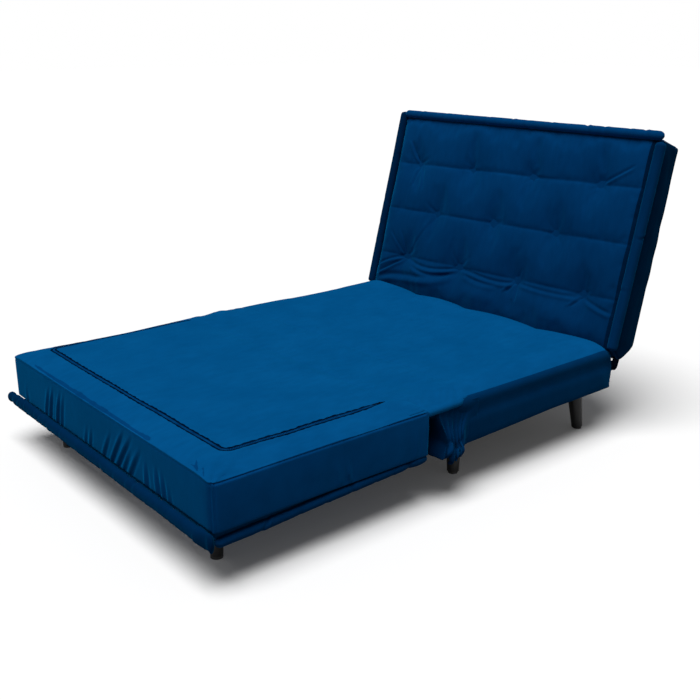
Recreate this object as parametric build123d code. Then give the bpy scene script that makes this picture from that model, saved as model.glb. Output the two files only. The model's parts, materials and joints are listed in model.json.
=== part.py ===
from build123d import *
import os
from math import atan2, cos, degrees, radians, sin

os.makedirs("parts", exist_ok=True)

# Sizes in millimetres. The sofa bed faces -Y, X runs across it and the floor is at Z = 0.

# Upholstered sections
body_width = 1025.0
underside = 149.0
base_underside = 135.0
seam_height = 250.0
crown_height = 268.0
shoulder = 62.0
crease_shoulder = 40.0
side_bow = 2.5
cloth = 3.0
slack = 0.2

# Lengths along Y, from the front face of the fold-out section
front_y = -766.85
fold_length = 596.0
pivot_inset = 12.0
link_pitch = 66.0
base_rear_top = 1262.0
base_rear_edge = 1345.0
base_rear_foot = 1333.0
base_rear_edge_height = 195.0

# Fold hinge
pivot_height = 240.0
link_radius = 10.0
pin_radius = 5.0
running_gap = 0.06
plate_inner = 495.0
plate_thick = 4.0
link_inner = 499.5

# Timber frames
rail_thick = 25.0
rail_outer = 495.0
base_rail_low = 137.0
base_rail_high = 215.0
fold_rail_low = 180.0
fold_rail_high = 230.0
slat_thick = 8.0
slat_width = 60.0
slat_count = 6

# Base legs
leg_top_radius = 22.0
leg_foot_radius = 15.5
glide_height = 3.0
leg_plate_thick = 3.0
leg_plate_side = 66.0
leg_boss_radius = 10.0
bolt_radius = 4.0
bolt_low = 90.0
bolt_high = 178.0
front_leg_foot = (419.0, 788.0)
rear_leg_foot = (440.0, 1284.0)
leg_splay = 12.7
corner_block = 165.0

# Backrest, in its own upright frame: Y behind the face, Z up the face
back_lean = 14.5
back_foot_y = 1307.0
back_foot_z = 252.0
back_height = 594.0
back_top_fall = 6.0
back_depth_foot = 120.0
back_depth_top = 106.0
back_front = 20.0
back_keel = 34.0
back_keel_depth = 61.0
recline_pivot_y = 1352.0
recline_pivot_z = 194.0
recline_eye = 14.0
stile_outer = 499.5

# Tufted faces
seam_rows = (126.0, 285.0, 443.0)
tuft_pitch = 248.0
seam_depth = 8.0
pillow_rise = 10.0
dimple_radius = 42.0
dimple_depth = 9.0

# Padded rolls
back_roll_radius = 14.5
back_roll_x = 513.5
back_roll_n = 6.0
back_roll_top = 598.5
back_roll_foot = 6.0
fold_roll_radius = 14.5
fold_roll_height = 125.5
fold_roll_front = 6.0
fold_roll_side = 510.0
fold_roll_half = 534.0

# Folding feet of the fold-out section
foot_x = 387.0
foot_pivot_y = 90.0
foot_contact_y = 82.0
foot_pivot_z = 168.0
foot_radius = 14.5
foot_tang_half = 12.0
foot_cap_height = 6.0

# Zip on top of the fold-out section
zip_half = 440.0
zip_front = 80.0
zip_rear = 525.0
zip_width = 10.0
zip_thick = 1.2
zip_corner = 22.0

half = body_width / 2
fold_pivot_y = fold_length + pivot_inset
base_pivot_y = fold_pivot_y + link_pitch
base_front = base_pivot_y + pivot_inset
skirt = 10.0


# Closed outline from a start point; a step is (x, y), or (sag, x, y) for an arc that bows to the left.
def outline(start, *steps):
    edges = []
    here = start
    for step in steps:
        there = step[-2:]
        if len(step) == 3:
            run = Vector(there[0] - here[0], there[1] - here[1])
            side = Vector(-run.Y, run.X).normalized() * step[0]
            middle = Vector(here[0], here[1]) + run * 0.5 + side
            edges.append(ThreePointArc(here, (middle.X, middle.Y), there))
        else:
            edges.append(Line(here, there))
        here = there
    if here != start:
        edges.append(Line(here, start))
    return make_face(edges)


# A Y-Z face pushed across from one X to another.
def across(face, x_low, x_high):
    return extrude(Plane.YZ.offset(x_low) * face, x_high - x_low)


# An X-Z face pushed along from one Y to another.
def along(face, y_low, y_high):
    return extrude(Plane.XZ.offset(-y_high) * face, y_high - y_low)


# A square-edged block between pairs of limits.
def block(x, y, z):
    middle = Pos((x[0] + x[1]) / 2, (y[0] + y[1]) / 2, (z[0] + z[1]) / 2)
    return middle * Box(x[1] - x[0], y[1] - y[0], z[1] - z[0])


# A round bar along X.
def rod(x_low, x_high, y, z, radius):
    return Pos((x_low + x_high) / 2, y, z) * Rot(Y=90) * Cylinder(radius, x_high - x_low)


# A flat bar with round ends between two (y, z) points.
def bar(p, q, radius, x_low, x_high):
    run = Vector(q[0] - p[0], q[1] - p[1])
    slot = SlotCenterToCenter(run.length, 2 * radius)
    turned = Pos((p[0] + q[0]) / 2, (p[1] + q[1]) / 2) * Rot(Z=degrees(atan2(run.Y, run.X))) * slot
    return across(turned, x_low, x_high)


def left_of(shape):
    return mirror(shape, about=Plane.YZ)


def both(shape):
    return [shape, left_of(shape)]


def save(name, shape):
    if isinstance(shape, list):
        shape = Compound(shape)
    export_step(shape, f"parts/{name}.step")


# Sag of a shoulder arc that ends level at the crown.
def shoulder_sag(reach, rise):
    radius = (reach**2 + rise**2) / (2 * rise)
    chord = (reach**2 + rise**2) ** 0.5
    return radius - (radius**2 - chord**2 / 4) ** 0.5


# Boxed cushion seen from the front: bowed sides, rolled shoulders and a level crown.
def cushion_front(inset, low):
    side = half - inset
    seam = seam_height - inset
    crown = crown_height - inset
    sag = shoulder_sag(shoulder, crown - seam)
    return outline(
        (-side, low - skirt),
        (-side, low),
        (side_bow, -side, seam),
        (sag, -side + shoulder, crown),
        (side - shoulder, crown),
        (sag, side, seam),
        (side_bow, side, low),
        (side, low - skirt),
    )


def fold_side(inset):
    front = front_y + inset
    rear = front_y + fold_length - inset
    seam = seam_height - inset
    crown = crown_height - inset
    return outline(
        (front, underside - skirt),
        (front, underside),
        (side_bow, front, seam),
        (shoulder_sag(shoulder, crown - seam), front + shoulder, crown),
        (rear - crease_shoulder, crown),
        (shoulder_sag(crease_shoulder, crown - seam), rear, seam),
        (rear, underside - skirt),
    )


def base_side(inset):
    front = front_y + base_front + inset
    edge = front_y + base_rear_edge - inset
    foot = front_y + base_rear_foot - inset
    seam = seam_height - inset
    crown = crown_height - inset
    return outline(
        (front, base_underside - skirt),
        (front, seam),
        (shoulder_sag(crease_shoulder, crown - seam), front + crease_shoulder, crown),
        (front_y + base_rear_top, crown),
        (10.0, edge, base_rear_edge_height),
        (3.0, foot, base_underside),
        (foot, base_underside - skirt),
    )


# A cushion is its side view crossed with its front view; it runs on a little below the underside.
def fold_block(inset):
    side_on = across(fold_side(inset), -half - 10, half + 10)
    return side_on & along(cushion_front(inset, underside), front_y - 10, front_y + fold_length + 10)


def base_block(inset):
    side_on = across(base_side(inset), -half - 10, half + 10)
    return side_on & along(cushion_front(inset, base_underside), front_y + base_front - 10, front_y + base_rear_edge + 10)


def between(low, high):
    return block((-700, 700), (-1000, 1000), (low, high))


def at_y(value):
    return front_y + value


# Base: timber frame
base_frame_front = base_front + 10
base_frame_rear = 1325.0
rail_inner = rail_outer - rail_thick
base_rail = block(
    (rail_inner, rail_outer),
    (at_y(base_frame_front), at_y(base_frame_rear)),
    (base_rail_low, base_rail_high),
)
save("base_side_rails", both(base_rail))


def cross_rail(front, low, high):
    return block((-rail_inner, rail_inner), (at_y(front), at_y(front + rail_thick)), (low, high))


base_centre = 1000.0
save("base_front_rail", cross_rail(base_frame_front, base_rail_low, base_rail_high))
save("base_centre_rail", cross_rail(base_centre, base_rail_low, base_rail_high))
save("base_rear_rail", cross_rail(base_frame_rear - rail_thick, base_rail_low, base_rail_high))


# Legs splay towards the corners, so the foot stands outside and beyond the top.
def leg_axis(foot, toward_rear):
    step = leg_splay if toward_rear else -leg_splay
    top = Vector(foot[0] - leg_splay, at_y(foot[1]) - step, base_underside)
    bottom = Vector(foot[0], at_y(foot[1]), 0)
    return top, bottom


# A round bar square to a leaning axis; the heights are those of its two end centres.
def tilted(top, bottom, radius_low, radius_high, z_low, z_high):
    run = top - bottom
    low = bottom + run * ((z_low - bottom.Z) / run.Z)
    reach = (z_high - z_low) / run.Z * run.length
    body = Cylinder(radius_low, reach) if radius_low == radius_high else Cone(radius_low, radius_high, reach)
    return Plane(origin=low, z_dir=run.normalized()) * Pos(0, 0, reach / 2) * body


leg_tops = [leg_axis(front_leg_foot, False), leg_axis(rear_leg_foot, True)]
leg_high = base_underside - leg_plate_thick
lean_rise = 2**0.5 * leg_splay / base_underside
leg_top = leg_high - leg_top_radius * lean_rise
leg_foot = glide_height + leg_foot_radius * lean_rise
legs = []
bolts = []
plates = []
glides = []
blocks = []
for top, bottom in leg_tops:
    bolt_hole = tilted(top, bottom, bolt_radius + running_gap, bolt_radius + running_gap, bolt_low - 4, bolt_high + 4)
    legs.append(tilted(top, bottom, leg_foot_radius, leg_top_radius, leg_foot, leg_top) - bolt_hole)
    bolts.append(tilted(top, bottom, bolt_radius, bolt_radius, bolt_low, bolt_high))
    side = leg_plate_side / 2
    plate = block((top.X - side, top.X + side), (top.Y - side, top.Y + side), (leg_high, base_underside))
    boss = tilted(top, bottom, leg_boss_radius, leg_boss_radius, leg_top, leg_high + leg_plate_thick / 2)
    plates.append(chamfer(plate.edges().filter_by(Axis.Z), 9) + boss - bolt_hole)
    glides.append(tilted(top, bottom, leg_foot_radius - 3, leg_foot_radius - 3, -5, leg_foot) & between(0, 20))
    turn = 1 if top.Y > at_y(base_centre) else -1
    wall = at_y(base_frame_rear - rail_thick) if turn > 0 else at_y(base_frame_front + rail_thick)
    corner = [(rail_inner, wall), (rail_inner - corner_block, wall), (rail_inner, wall - turn * corner_block)]
    prism = extrude(Plane.XY.offset(base_rail_low) * make_face(Polyline(*corner, close=True)), 60)
    blocks.append(prism - bolt_hole)

for row, leg in zip(("front", "rear"), legs):
    save(f"leg_{row}_right", leg)
    save(f"leg_{row}_left", left_of(leg))
save("leg_bolts", [half_set for bolt in bolts for half_set in both(bolt)])
save("leg_plates", [half_set for plate in plates for half_set in both(plate)])
save("leg_glides", [half_set for glide in glides for half_set in both(glide)])
save("base_corner_blocks", [half_set for prism in blocks for half_set in both(prism)])


# Sprung slats lie across the rails, front to rear.
def slats(front, rear, low):
    pitch = (2 * rail_inner - slat_width) / (slat_count - 1)
    row = []
    for number in range(slat_count):
        middle = -rail_inner + slat_width / 2 + number * pitch
        slat = block(
            (middle - slat_width / 2, middle + slat_width / 2),
            (at_y(front), at_y(rear)),
            (low, low + slat_thick),
        )
        row.append(chamfer(slat.edges().filter_by(Axis.Y), 2))
    return row


save("base_slats", slats(base_frame_front, 1308.0, base_rail_high))

# Recline hinge: a plate on each side rail carries the pivot just behind the base.
recline_pivot = (at_y(recline_pivot_y), recline_pivot_z)
recline_anchor = (at_y(recline_pivot_y - 130), base_rail_low + 48)
plate_outer = plate_inner + plate_thick
pivot_hole = rod(plate_inner - 1, plate_outer + 1, *recline_pivot, pin_radius + running_gap)
recline_plate = bar(recline_pivot, recline_anchor, recline_eye, plate_inner, plate_outer) - pivot_hole
save("recline_plate_right", recline_plate)
save("recline_plate_left", left_of(recline_plate))
recline_pin = rod(plate_inner - 2, link_inner + plate_thick + 3, *recline_pivot, pin_radius)
recline_pin += rod(plate_inner - 3.5, plate_inner - 0.2, *recline_pivot, pin_radius + 3)
recline_pin += rod(link_inner + plate_thick + 0.5, link_inner + plate_thick + 3, *recline_pivot, pin_radius + 3)
save("recline_pins", both(recline_pin))

# Fold hinge: brackets on the side rails, and a link at each side between the two pivots.
base_pivot = (at_y(base_pivot_y), pivot_height)
fold_pivot = (at_y(fold_pivot_y), pivot_height)
base_arm = bar(base_pivot, (at_y(base_front + 80), 188.0), link_radius, plate_inner, plate_outer)
fold_arm = bar(fold_pivot, (at_y(fold_length - 80), 206.0), link_radius, plate_inner, plate_outer)
base_bracket = base_arm - rod(plate_inner - 1, plate_outer + 1, *base_pivot, pin_radius + running_gap)
fold_bracket = fold_arm - rod(plate_inner - 1, plate_outer + 1, *fold_pivot, pin_radius + running_gap)
save("fold_base_brackets", both(base_bracket))
save("fold_brackets", both(fold_bracket))

link = bar(base_pivot, fold_pivot, link_radius, link_inner, link_inner + plate_thick)
for spot in (base_pivot, fold_pivot):
    link -= rod(link_inner - 1, link_inner + plate_thick + 1, *spot, pin_radius + running_gap)
save("fold_links", both(link))


def link_pin(spot):
    shank = rod(plate_inner - 1.5, link_inner + plate_thick + 2, *spot, pin_radius)
    return shank + rod(link_inner + plate_thick + 0.4, link_inner + plate_thick + 2, *spot, pin_radius + 2.5)


save("fold_base_pins", both(link_pin(base_pivot)))
save("fold_link_pins", both(link_pin(fold_pivot)))

# Base: foam cap with a skirt outside the frame, then the cover pulled over it.
slot_x = (plate_inner - 1, link_inner + plate_thick + 3)
base_slots = block(slot_x, (at_y(base_front - 5), at_y(base_front + 98)), (170, 246.5))
base_slots += block(slot_x, (at_y(recline_pivot_y - 150), at_y(base_rear_edge + 10)), (165, 214))
base_slots += rod(plate_inner - 5, link_inner + plate_thick + 4, *recline_pivot, recline_eye + 2)
base_hollow = block(
    (-rail_outer - slack, rail_outer + slack),
    (at_y(base_frame_front) - slack, at_y(base_frame_rear) + slack),
    (0, base_rail_high + slat_thick + slack),
)
base_cover = (base_block(0) & between(base_underside, 400)) - base_block(cloth)
base_foam = (base_block(cloth + slack) & between(base_rail_low, 400)) - base_hollow
for cut in both(base_slots):
    base_foam -= cut
    base_cover -= cut
save("base_foam", base_foam)
save("base_cover", base_cover)

dust = base_block(cloth + slack) & between(base_underside, base_rail_low)
for top, bottom in leg_tops:
    for cut in both(tilted(top, bottom, bolt_radius + 1, bolt_radius + 1, base_underside - 5, base_rail_low + 5)):
        dust -= cut
save("base_dust_cover", dust)

# Crease cloth: a sagging strip on top and a gathered gusset at each side.
strip_front = at_y(fold_length + 0.6)
strip_rear = at_y(base_front - 0.6)
strip = outline(
    (strip_front, 258.0),
    (strip_front, 261.0),
    (-4.0, strip_rear, 261.0),
    (strip_rear, 258.0),
    (4.0, strip_front, 258.0),
)
save("crease_strip", across(strip, -half + 14, half - 14))

gusset_inner = link_inner + plate_thick + 4
fold_run = (strip_rear - strip_front) / 4
steps = []
for number in range(4):
    sag = 3.0 if number % 2 == 0 else -3.0
    steps.append((sag, gusset_inner + 3, strip_front + fold_run * (number + 1)))
steps.append((gusset_inner + 5.4, strip_rear))
for number in range(3, -1, -1):
    sag = -3.0 if number % 2 == 0 else 3.0
    steps.append((sag, gusset_inner + 5.4, strip_front + fold_run * number))
gusset_plan = outline((gusset_inner + 3, strip_front), *steps)
gusset = extrude(Plane.XY.offset(112) * gusset_plan, 138)
save("crease_gussets", both(gusset))

# Fold-out section: timber frame
fold_frame_front = 10.0
fold_frame_rear = fold_length - 10
fold_centre = 300.0
fold_rail = block(
    (rail_inner, rail_outer),
    (at_y(fold_frame_front), at_y(fold_frame_rear)),
    (fold_rail_low, fold_rail_high),
)
save("fold_side_rails", both(fold_rail))
save("fold_front_rail", cross_rail(fold_frame_front, fold_rail_low, fold_rail_high))
save("fold_centre_rail", cross_rail(fold_centre, fold_rail_low, fold_rail_high))
save("fold_rear_rail", cross_rail(fold_frame_rear - rail_thick, fold_rail_low, fold_rail_high))
save("fold_slats", slats(fold_frame_front, fold_frame_rear, fold_rail_high))

# Folding feet: a pressed bracket under a board, a tapered foot on a cross pin and a soft cap.
board_low = 192.0
board = block((345, 430), (at_y(fold_frame_front + rail_thick), at_y(fold_centre)), (board_low, board_low + 18))
save("fold_leg_boards", both(board))
foot_pivot = (at_y(foot_pivot_y), foot_pivot_z)
cheek = foot_tang_half + 0.6
channel = block(
    (foot_x - cheek - 2.5, foot_x + cheek + 2.5),
    (at_y(foot_pivot_y - 20), at_y(foot_pivot_y + 12.5)),
    (156, board_low),
)
channel = chamfer(channel.edges().filter_by(Axis.X).group_by(Axis.Z)[0], 9)
channel -= block((foot_x - cheek, foot_x + cheek), (at_y(0), at_y(foot_pivot_y + 40)), (100, board_low - 2.5))
web = block(
    (foot_x - cheek, foot_x + cheek),
    (at_y(foot_pivot_y - 20), at_y(foot_pivot_y - 17.5)),
    (172, board_low - 2.5),
)
foot_bracket = channel + web
foot_bracket -= rod(foot_x - 30, foot_x + 30, *foot_pivot, 4 + running_gap)
save("fold_leg_brackets", both(foot_bracket))
foot_pin = rod(foot_x - cheek - 2.5, foot_x + cheek + 2.5, *foot_pivot, 4)
for side in (-1, 1):
    end = foot_x + side * (cheek + 3.5)
    foot_pin += rod(end - 1, end + 1, *foot_pivot, 6.5)
save("fold_leg_pins", both(foot_pin))

foot_top = Vector(foot_x, at_y(foot_pivot_y), foot_pivot_z)
foot_bottom = Vector(foot_x, at_y(foot_contact_y), 0)
foot_bar = tilted(foot_top, foot_bottom, foot_radius, foot_radius, foot_cap_height, foot_pivot_z - 14)
foot_tang = rod(foot_x - foot_tang_half, foot_x + foot_tang_half, *foot_pivot, foot_radius - 1.5)
tang_neck = block(
    (foot_x - foot_tang_half, foot_x + foot_tang_half),
    (at_y(foot_pivot_y - foot_radius + 3), at_y(foot_pivot_y + foot_radius - 4)),
    (foot_pivot_z - 18, foot_pivot_z),
)
foot = foot_bar + foot_tang + tang_neck
foot -= rod(foot_x - 30, foot_x + 30, *foot_pivot, 4 + running_gap)
cap = tilted(foot_top, foot_bottom, foot_radius, foot_radius, -3, foot_cap_height) & between(0, 20)
save("fold_leg_right", foot)
save("fold_leg_left", left_of(foot))
save("fold_leg_cap_right", cap)
save("fold_leg_cap_left", left_of(cap))

# Fold-out section: foam on both faces, cover and tufted seat face underneath.
foot_slot = block((foot_x - 24, foot_x + 24), (at_y(62), at_y(272)), (100, board_low))
fold_slots = block(slot_x, (at_y(fold_length - 98), at_y(fold_length + 5)), (186, 248))
fold_hollow = block(
    (-rail_outer - slack, rail_outer + slack),
    (at_y(fold_frame_front) - slack, at_y(fold_frame_rear) + slack),
    (0, fold_rail_high + slat_thick + slack),
)
fold_cover = (fold_block(0) & between(underside, 400)) - fold_block(cloth)
fold_foam = (fold_block(cloth + slack) & between(fold_rail_low, 400)) - fold_hollow
for cut in both(fold_slots):
    fold_foam -= cut
    fold_cover -= cut
save("fold_foam", fold_foam)
save("fold_cover", fold_cover)

seat_face = 153.0
seat_foam = fold_block(cloth + slack) & between(seat_face, fold_rail_low)
for cut in both(foot_slot):
    seat_foam -= cut
save("fold_seat_foam", seat_foam)


# Tufted face, looking along +Y at it: pillows between stitched seams, and a dimple at every tuft.
def tufted_face(width, foot, height, rows, wide_first, back):
    steps = []
    ends = [foot, *rows, height]
    for low, high in zip(ends[:-1], ends[1:]):
        rise = pillow_rise * (high - low) / 160
        steps.append((rise, seam_depth, high))
    profile = outline((back, foot), (seam_depth, foot), *steps, (back, height))
    face = across(profile, -width / 2, width / 2)
    ball_y = seam_depth + dimple_depth - dimple_radius
    for number, row in enumerate(rows):
        count = 4 if (number % 2 == 0) == wide_first else 3
        for place in range(count):
            x = (place - (count - 1) / 2) * tuft_pitch
            face -= Pos(x, ball_y, row) * Sphere(dimple_radius)
    return face


seat_margin = 17.5
seat_panel = tufted_face(
    body_width - 2 * seat_margin, seat_margin, fold_length - seat_margin, seam_rows, False, back_front
)
seat_panel = Pos(0, front_y, seat_face - slack - back_front) * Rot(X=-90) * mirror(seat_panel, about=Plane.XZ)
for cut in both(foot_slot):
    seat_panel -= cut
save("fold_seat_panel", seat_panel)

# Padded rolls hang from the lower edge of the fold-out section.
strip_x = (half - cloth, half)
side_roll = Pos(fold_roll_side, at_y(300), fold_roll_height) * Rot(X=90) * Cylinder(fold_roll_radius, 572)
side_roll = chamfer(side_roll.edges().filter_by(GeomType.CIRCLE), 10, 7)
side_roll += block(strip_x, (at_y(22), at_y(580)), (fold_roll_height, underside))
save("fold_roll_right", side_roll)
save("fold_roll_left", left_of(side_roll))
front_roll = rod(-fold_roll_half, fold_roll_half, at_y(-fold_roll_front), fold_roll_height, fold_roll_radius)
front_roll = chamfer(front_roll.edges().filter_by(GeomType.CIRCLE), 10, 7)
front_roll += block((-half + 8, half - 8), (at_y(0), at_y(cloth)), (fold_roll_height, underside))
save("fold_roll_front", front_roll)


# Zip tape in a U with round corners, and the slider parked at its right end.
def zip_outline(offset):
    side = zip_half + offset
    front = at_y(zip_front) - offset
    corner = zip_corner + offset
    inset = corner * (1 - cos(radians(45)))
    return [
        Line((side, at_y(zip_rear)), (side, front + corner)),
        ThreePointArc((side, front + corner), (side - inset, front + inset), (side - corner, front)),
        Line((side - corner, front), (-side + corner, front)),
        ThreePointArc((-side + corner, front), (-side + inset, front + inset), (-side, front + corner)),
        Line((-side, front + corner), (-side, at_y(zip_rear))),
    ]


outer = zip_outline(zip_width / 2)
inner = zip_outline(-zip_width / 2)
ends = [
    Line((side * (zip_half + zip_width / 2), at_y(zip_rear)), (side * (zip_half - zip_width / 2), at_y(zip_rear)))
    for side in (-1, 1)
]
tape = make_face(outer + inner + ends)
save("zip_tape", extrude(Plane.XY.offset(crown_height) * tape, zip_thick))

slider_low = crown_height + zip_thick + 0.15
slider = block(
    (zip_half - 4, zip_half + 4),
    (at_y(zip_rear - 18), at_y(zip_rear - 6)),
    (slider_low, slider_low + 2.2),
)
slider = fillet(slider.edges().filter_by(Axis.Z), 2)
tab = block(
    (zip_half - 2.5, zip_half + 2.5),
    (at_y(zip_rear - 40), at_y(zip_rear - 10)),
    (slider_low + 2.2, slider_low + 3.4),
)
save("zip_slider", slider + fillet(tab.edges().filter_by(Axis.Z), 2))


# Backrest, modelled upright and then leaned back.
lean = Pos(0, at_y(back_foot_y), back_foot_z) * Rot(X=-back_lean)
reach_y = recline_pivot_y - back_foot_y
reach_z = recline_pivot_z - back_foot_z
tilt = radians(back_lean)
hinge_n = reach_y * cos(tilt) - reach_z * sin(tilt)
hinge_s = reach_y * sin(tilt) + reach_z * cos(tilt)


def back_side(inset):
    return outline(
        (back_front - 25 * (inset > 0), inset),
        (back_front - 25 * (inset > 0), back_height - inset),
        (2.0, back_depth_top - 12 - inset, back_height - back_top_fall - inset),
        (3.5, back_depth_top - inset, back_height - back_top_fall - 12 - inset),
        (2.0, back_depth_foot - inset, 10.0),
        (4.0, back_keel_depth, -back_keel + inset),
    )


post_height = back_roll_top - 2 - back_roll_foot
side_post = Pos(back_roll_x, back_roll_n, back_roll_foot + post_height / 2) * Cylinder(back_roll_radius, post_height)
side_post = chamfer(side_post.edges().filter_by(GeomType.CIRCLE), 10, 7)
bar_half = back_roll_x - back_roll_radius - 1
top_bar = rod(-bar_half, bar_half, back_roll_n, back_roll_top, back_roll_radius)
top_bar = chamfer(top_bar.edges().filter_by(GeomType.CIRCLE), 7, 5)
save("back_roll_right", lean * side_post)
save("back_roll_left", lean * left_of(side_post))
save("back_roll_top", lean * top_bar)

# Room for the rolls in what lies behind them.
roll_cut = Pos(back_roll_x, back_roll_n, back_height / 2) * Cylinder(back_roll_radius + slack, 2 * back_height)
roll_room = roll_cut + left_of(roll_cut)
roll_room += rod(-half - 30, half + 30, back_roll_n, back_roll_top, back_roll_radius + slack)

# Timber back frame with elastic straps woven across it.
frame_n = (50.0, 90.0)
stile = block((stile_outer - rail_thick, stile_outer), frame_n, (14.0, 572.0))
stile_inner = stile_outer - rail_thick


def back_rail(low, high):
    return block((-stile_inner, stile_inner), frame_n, (low, high))


rails = [back_rail(14.0, 54.0), back_rail(280.0, 305.0), back_rail(547.0, 572.0)]
straps = []
for number in range(5):
    middle = (number - 2) * 190.0
    straps.append(block((middle - 35, middle + 35), (frame_n[0] - 2.5, frame_n[0]), (16.0, 570.0)))
save("back_stiles", [lean * piece for piece in both(stile)])
save("back_rails", [lean * piece for piece in rails])
save("back_straps", [lean * piece for piece in straps])

# Recline arm: from the pivot up the outside of each stile.
arm_x = (stile_outer, stile_outer + plate_thick)
arm = bar((hinge_n, hinge_s), (70.0, 150.0), recline_eye, *arm_x)
arm -= rod(arm_x[0] - 1, arm_x[1] + 1, hinge_n, hinge_s, pin_radius + running_gap)
save("recline_arm_right", lean * arm)
save("recline_arm_left", lean * left_of(arm))

# Foam, cover and tufted front panel of the backrest.
panel_back = 34.0
panel_half = back_roll_x - back_roll_radius - 0.5
back_panel = tufted_face(2 * panel_half, 2.0, back_roll_top - back_roll_radius - 0.5, seam_rows, True, panel_back)
save("back_panel", lean * back_panel)

arm_room = block((plate_inner - 2, arm_x[1] + 4), (hinge_n - 18, 90.0), (-60.0, 168.0))
arm_room += rod(plate_inner - 2, arm_x[1] + 4, hinge_n, hinge_s, recline_eye + 3)
back_shape = across(back_side(0), -half, half)
back_core = across(back_side(cloth), -half + cloth, half - cloth)
back_cover = back_shape - back_core - roll_room
back_foam = across(back_side(cloth + slack), -half + cloth + slack, half - cloth - slack) - roll_room
back_foam -= block((-600, 600), (-100, panel_back + slack), (-200, 900))
for piece in both(stile) + rails + straps:
    back_foam -= piece
for cut in both(arm_room):
    back_foam -= cut
    back_cover -= cut
save("back_foam", lean * back_foam)
save("back_cover", lean * back_cover)
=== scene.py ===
import json
import math
import bpy
import numpy as np
from mathutils import Matrix, Vector
from mathutils.bvhtree import BVHTree


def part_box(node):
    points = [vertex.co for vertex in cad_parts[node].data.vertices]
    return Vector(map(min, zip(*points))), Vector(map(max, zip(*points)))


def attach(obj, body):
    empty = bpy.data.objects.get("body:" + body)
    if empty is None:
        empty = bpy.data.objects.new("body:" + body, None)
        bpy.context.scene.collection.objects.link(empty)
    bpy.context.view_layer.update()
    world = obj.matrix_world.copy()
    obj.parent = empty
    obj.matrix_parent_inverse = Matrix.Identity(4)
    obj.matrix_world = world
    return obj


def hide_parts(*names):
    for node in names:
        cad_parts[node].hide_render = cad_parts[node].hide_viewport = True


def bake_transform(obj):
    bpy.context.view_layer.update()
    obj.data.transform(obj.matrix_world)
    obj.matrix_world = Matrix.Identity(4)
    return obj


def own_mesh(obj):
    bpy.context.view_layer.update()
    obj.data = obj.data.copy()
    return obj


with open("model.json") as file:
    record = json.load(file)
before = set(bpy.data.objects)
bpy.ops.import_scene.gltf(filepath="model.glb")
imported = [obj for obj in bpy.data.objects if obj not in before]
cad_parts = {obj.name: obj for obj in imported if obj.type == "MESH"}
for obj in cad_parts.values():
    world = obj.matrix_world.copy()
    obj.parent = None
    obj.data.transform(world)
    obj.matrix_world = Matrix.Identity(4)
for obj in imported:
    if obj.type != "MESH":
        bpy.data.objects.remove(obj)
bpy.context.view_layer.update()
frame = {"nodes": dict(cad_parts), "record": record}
scene = bpy.context.scene
print("frame loaded:", len(frame["nodes"]), "nodes")

# metres, as in the CAD frame; lengths along the sofa bed are counted from the fold-out's front face
body = {
    "frontY": -0.76685, "halfWidth": 0.5125, "underside": 0.149, "baseUnderside": 0.135, "seam": 0.250,
    "crown": 0.268, "shoulder": 0.062, "creaseShoulder": 0.040, "foldLength": 0.596, "baseFront": 0.686,
    "baseRearEdge": 1.345, "baseRearFoot": 1.333, "baseRearHeight": 0.195,
}
half = body["halfWidth"]


def alongY(distance):
    return body["frontY"] + distance


# mesh helpers
def joined(*parts):
    return np.stack(np.broadcast_arrays(*parts), -1)


def crossed(first, second):
    return np.meshgrid(first, second, indexing="ij")


def gridFaces(rows, columns, wrap=False):
    r, c = crossed(np.arange(rows - 1), np.arange(columns if wrap else columns - 1))
    n = (c + 1) % columns
    low, high = r * columns, (r + 1) * columns
    return joined(low + c, low + n, high + n, high + c).reshape(-1, 4)


def unitShell(counts):  # closed box skin with shared edges, corners at 0 and 1
    sides = []
    for axis in range(3):
        a, b = [n for n in range(3) if n != axis]
        ia, ib = crossed(np.arange(counts[a]), np.arange(counts[b]))
        for end in (0, counts[axis]):
            corners = []
            for da, db in ((0, 0), (1, 0), (1, 1), (0, 1)):
                spot = np.zeros(ia.shape + (3,), int)
                spot[..., a] = ia + da
                spot[..., b] = ib + db
                spot[..., axis] = end
                corners.append(spot.reshape(-1, 3))
            quads = np.stack(corners, 1)
            sides.append(quads[:, ::-1] if (end == 0) != (axis == 1) else quads)
    spots, index = np.unique(np.concatenate(sides).reshape(-1, 3), axis=0, return_inverse=True)
    return spots / np.array(counts, float), index.reshape(-1, 4)


def sumOver(index, values, count):
    return joined(*(np.bincount(index, values[:, n], count) for n in range(3)))


def relaxed(points, faces, rounds, hold):
    first, second = np.concatenate([faces[:, [n, (n + 1) % 4]] for n in range(4)]).T
    count = len(points)
    degree = np.bincount(first, minlength=count) + np.bincount(second, minlength=count)
    moved = points.copy()
    for _ in range(rounds):
        around = sumOver(first, moved[second], count) + sumOver(second, moved[first], count)
        step = (around / degree[:, None] - moved) * 0.5
        step[hold] = 0
        moved += step
    return moved


def faceCrosses(points, faces):  # face normals, twice as long as the area
    a, b, c, d = (points[faces[:, n]] for n in range(4))
    return np.cross(c - a, d - b)


def unitLong(vectors):
    return vectors / np.maximum(np.linalg.norm(vectors, axis=1, keepdims=True), 1e-12)


def normalsOf(points, faces):
    face = faceCrosses(points, faces)
    return unitLong(sum(sumOver(faces[:, n], face, len(points)) for n in range(4)))


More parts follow.
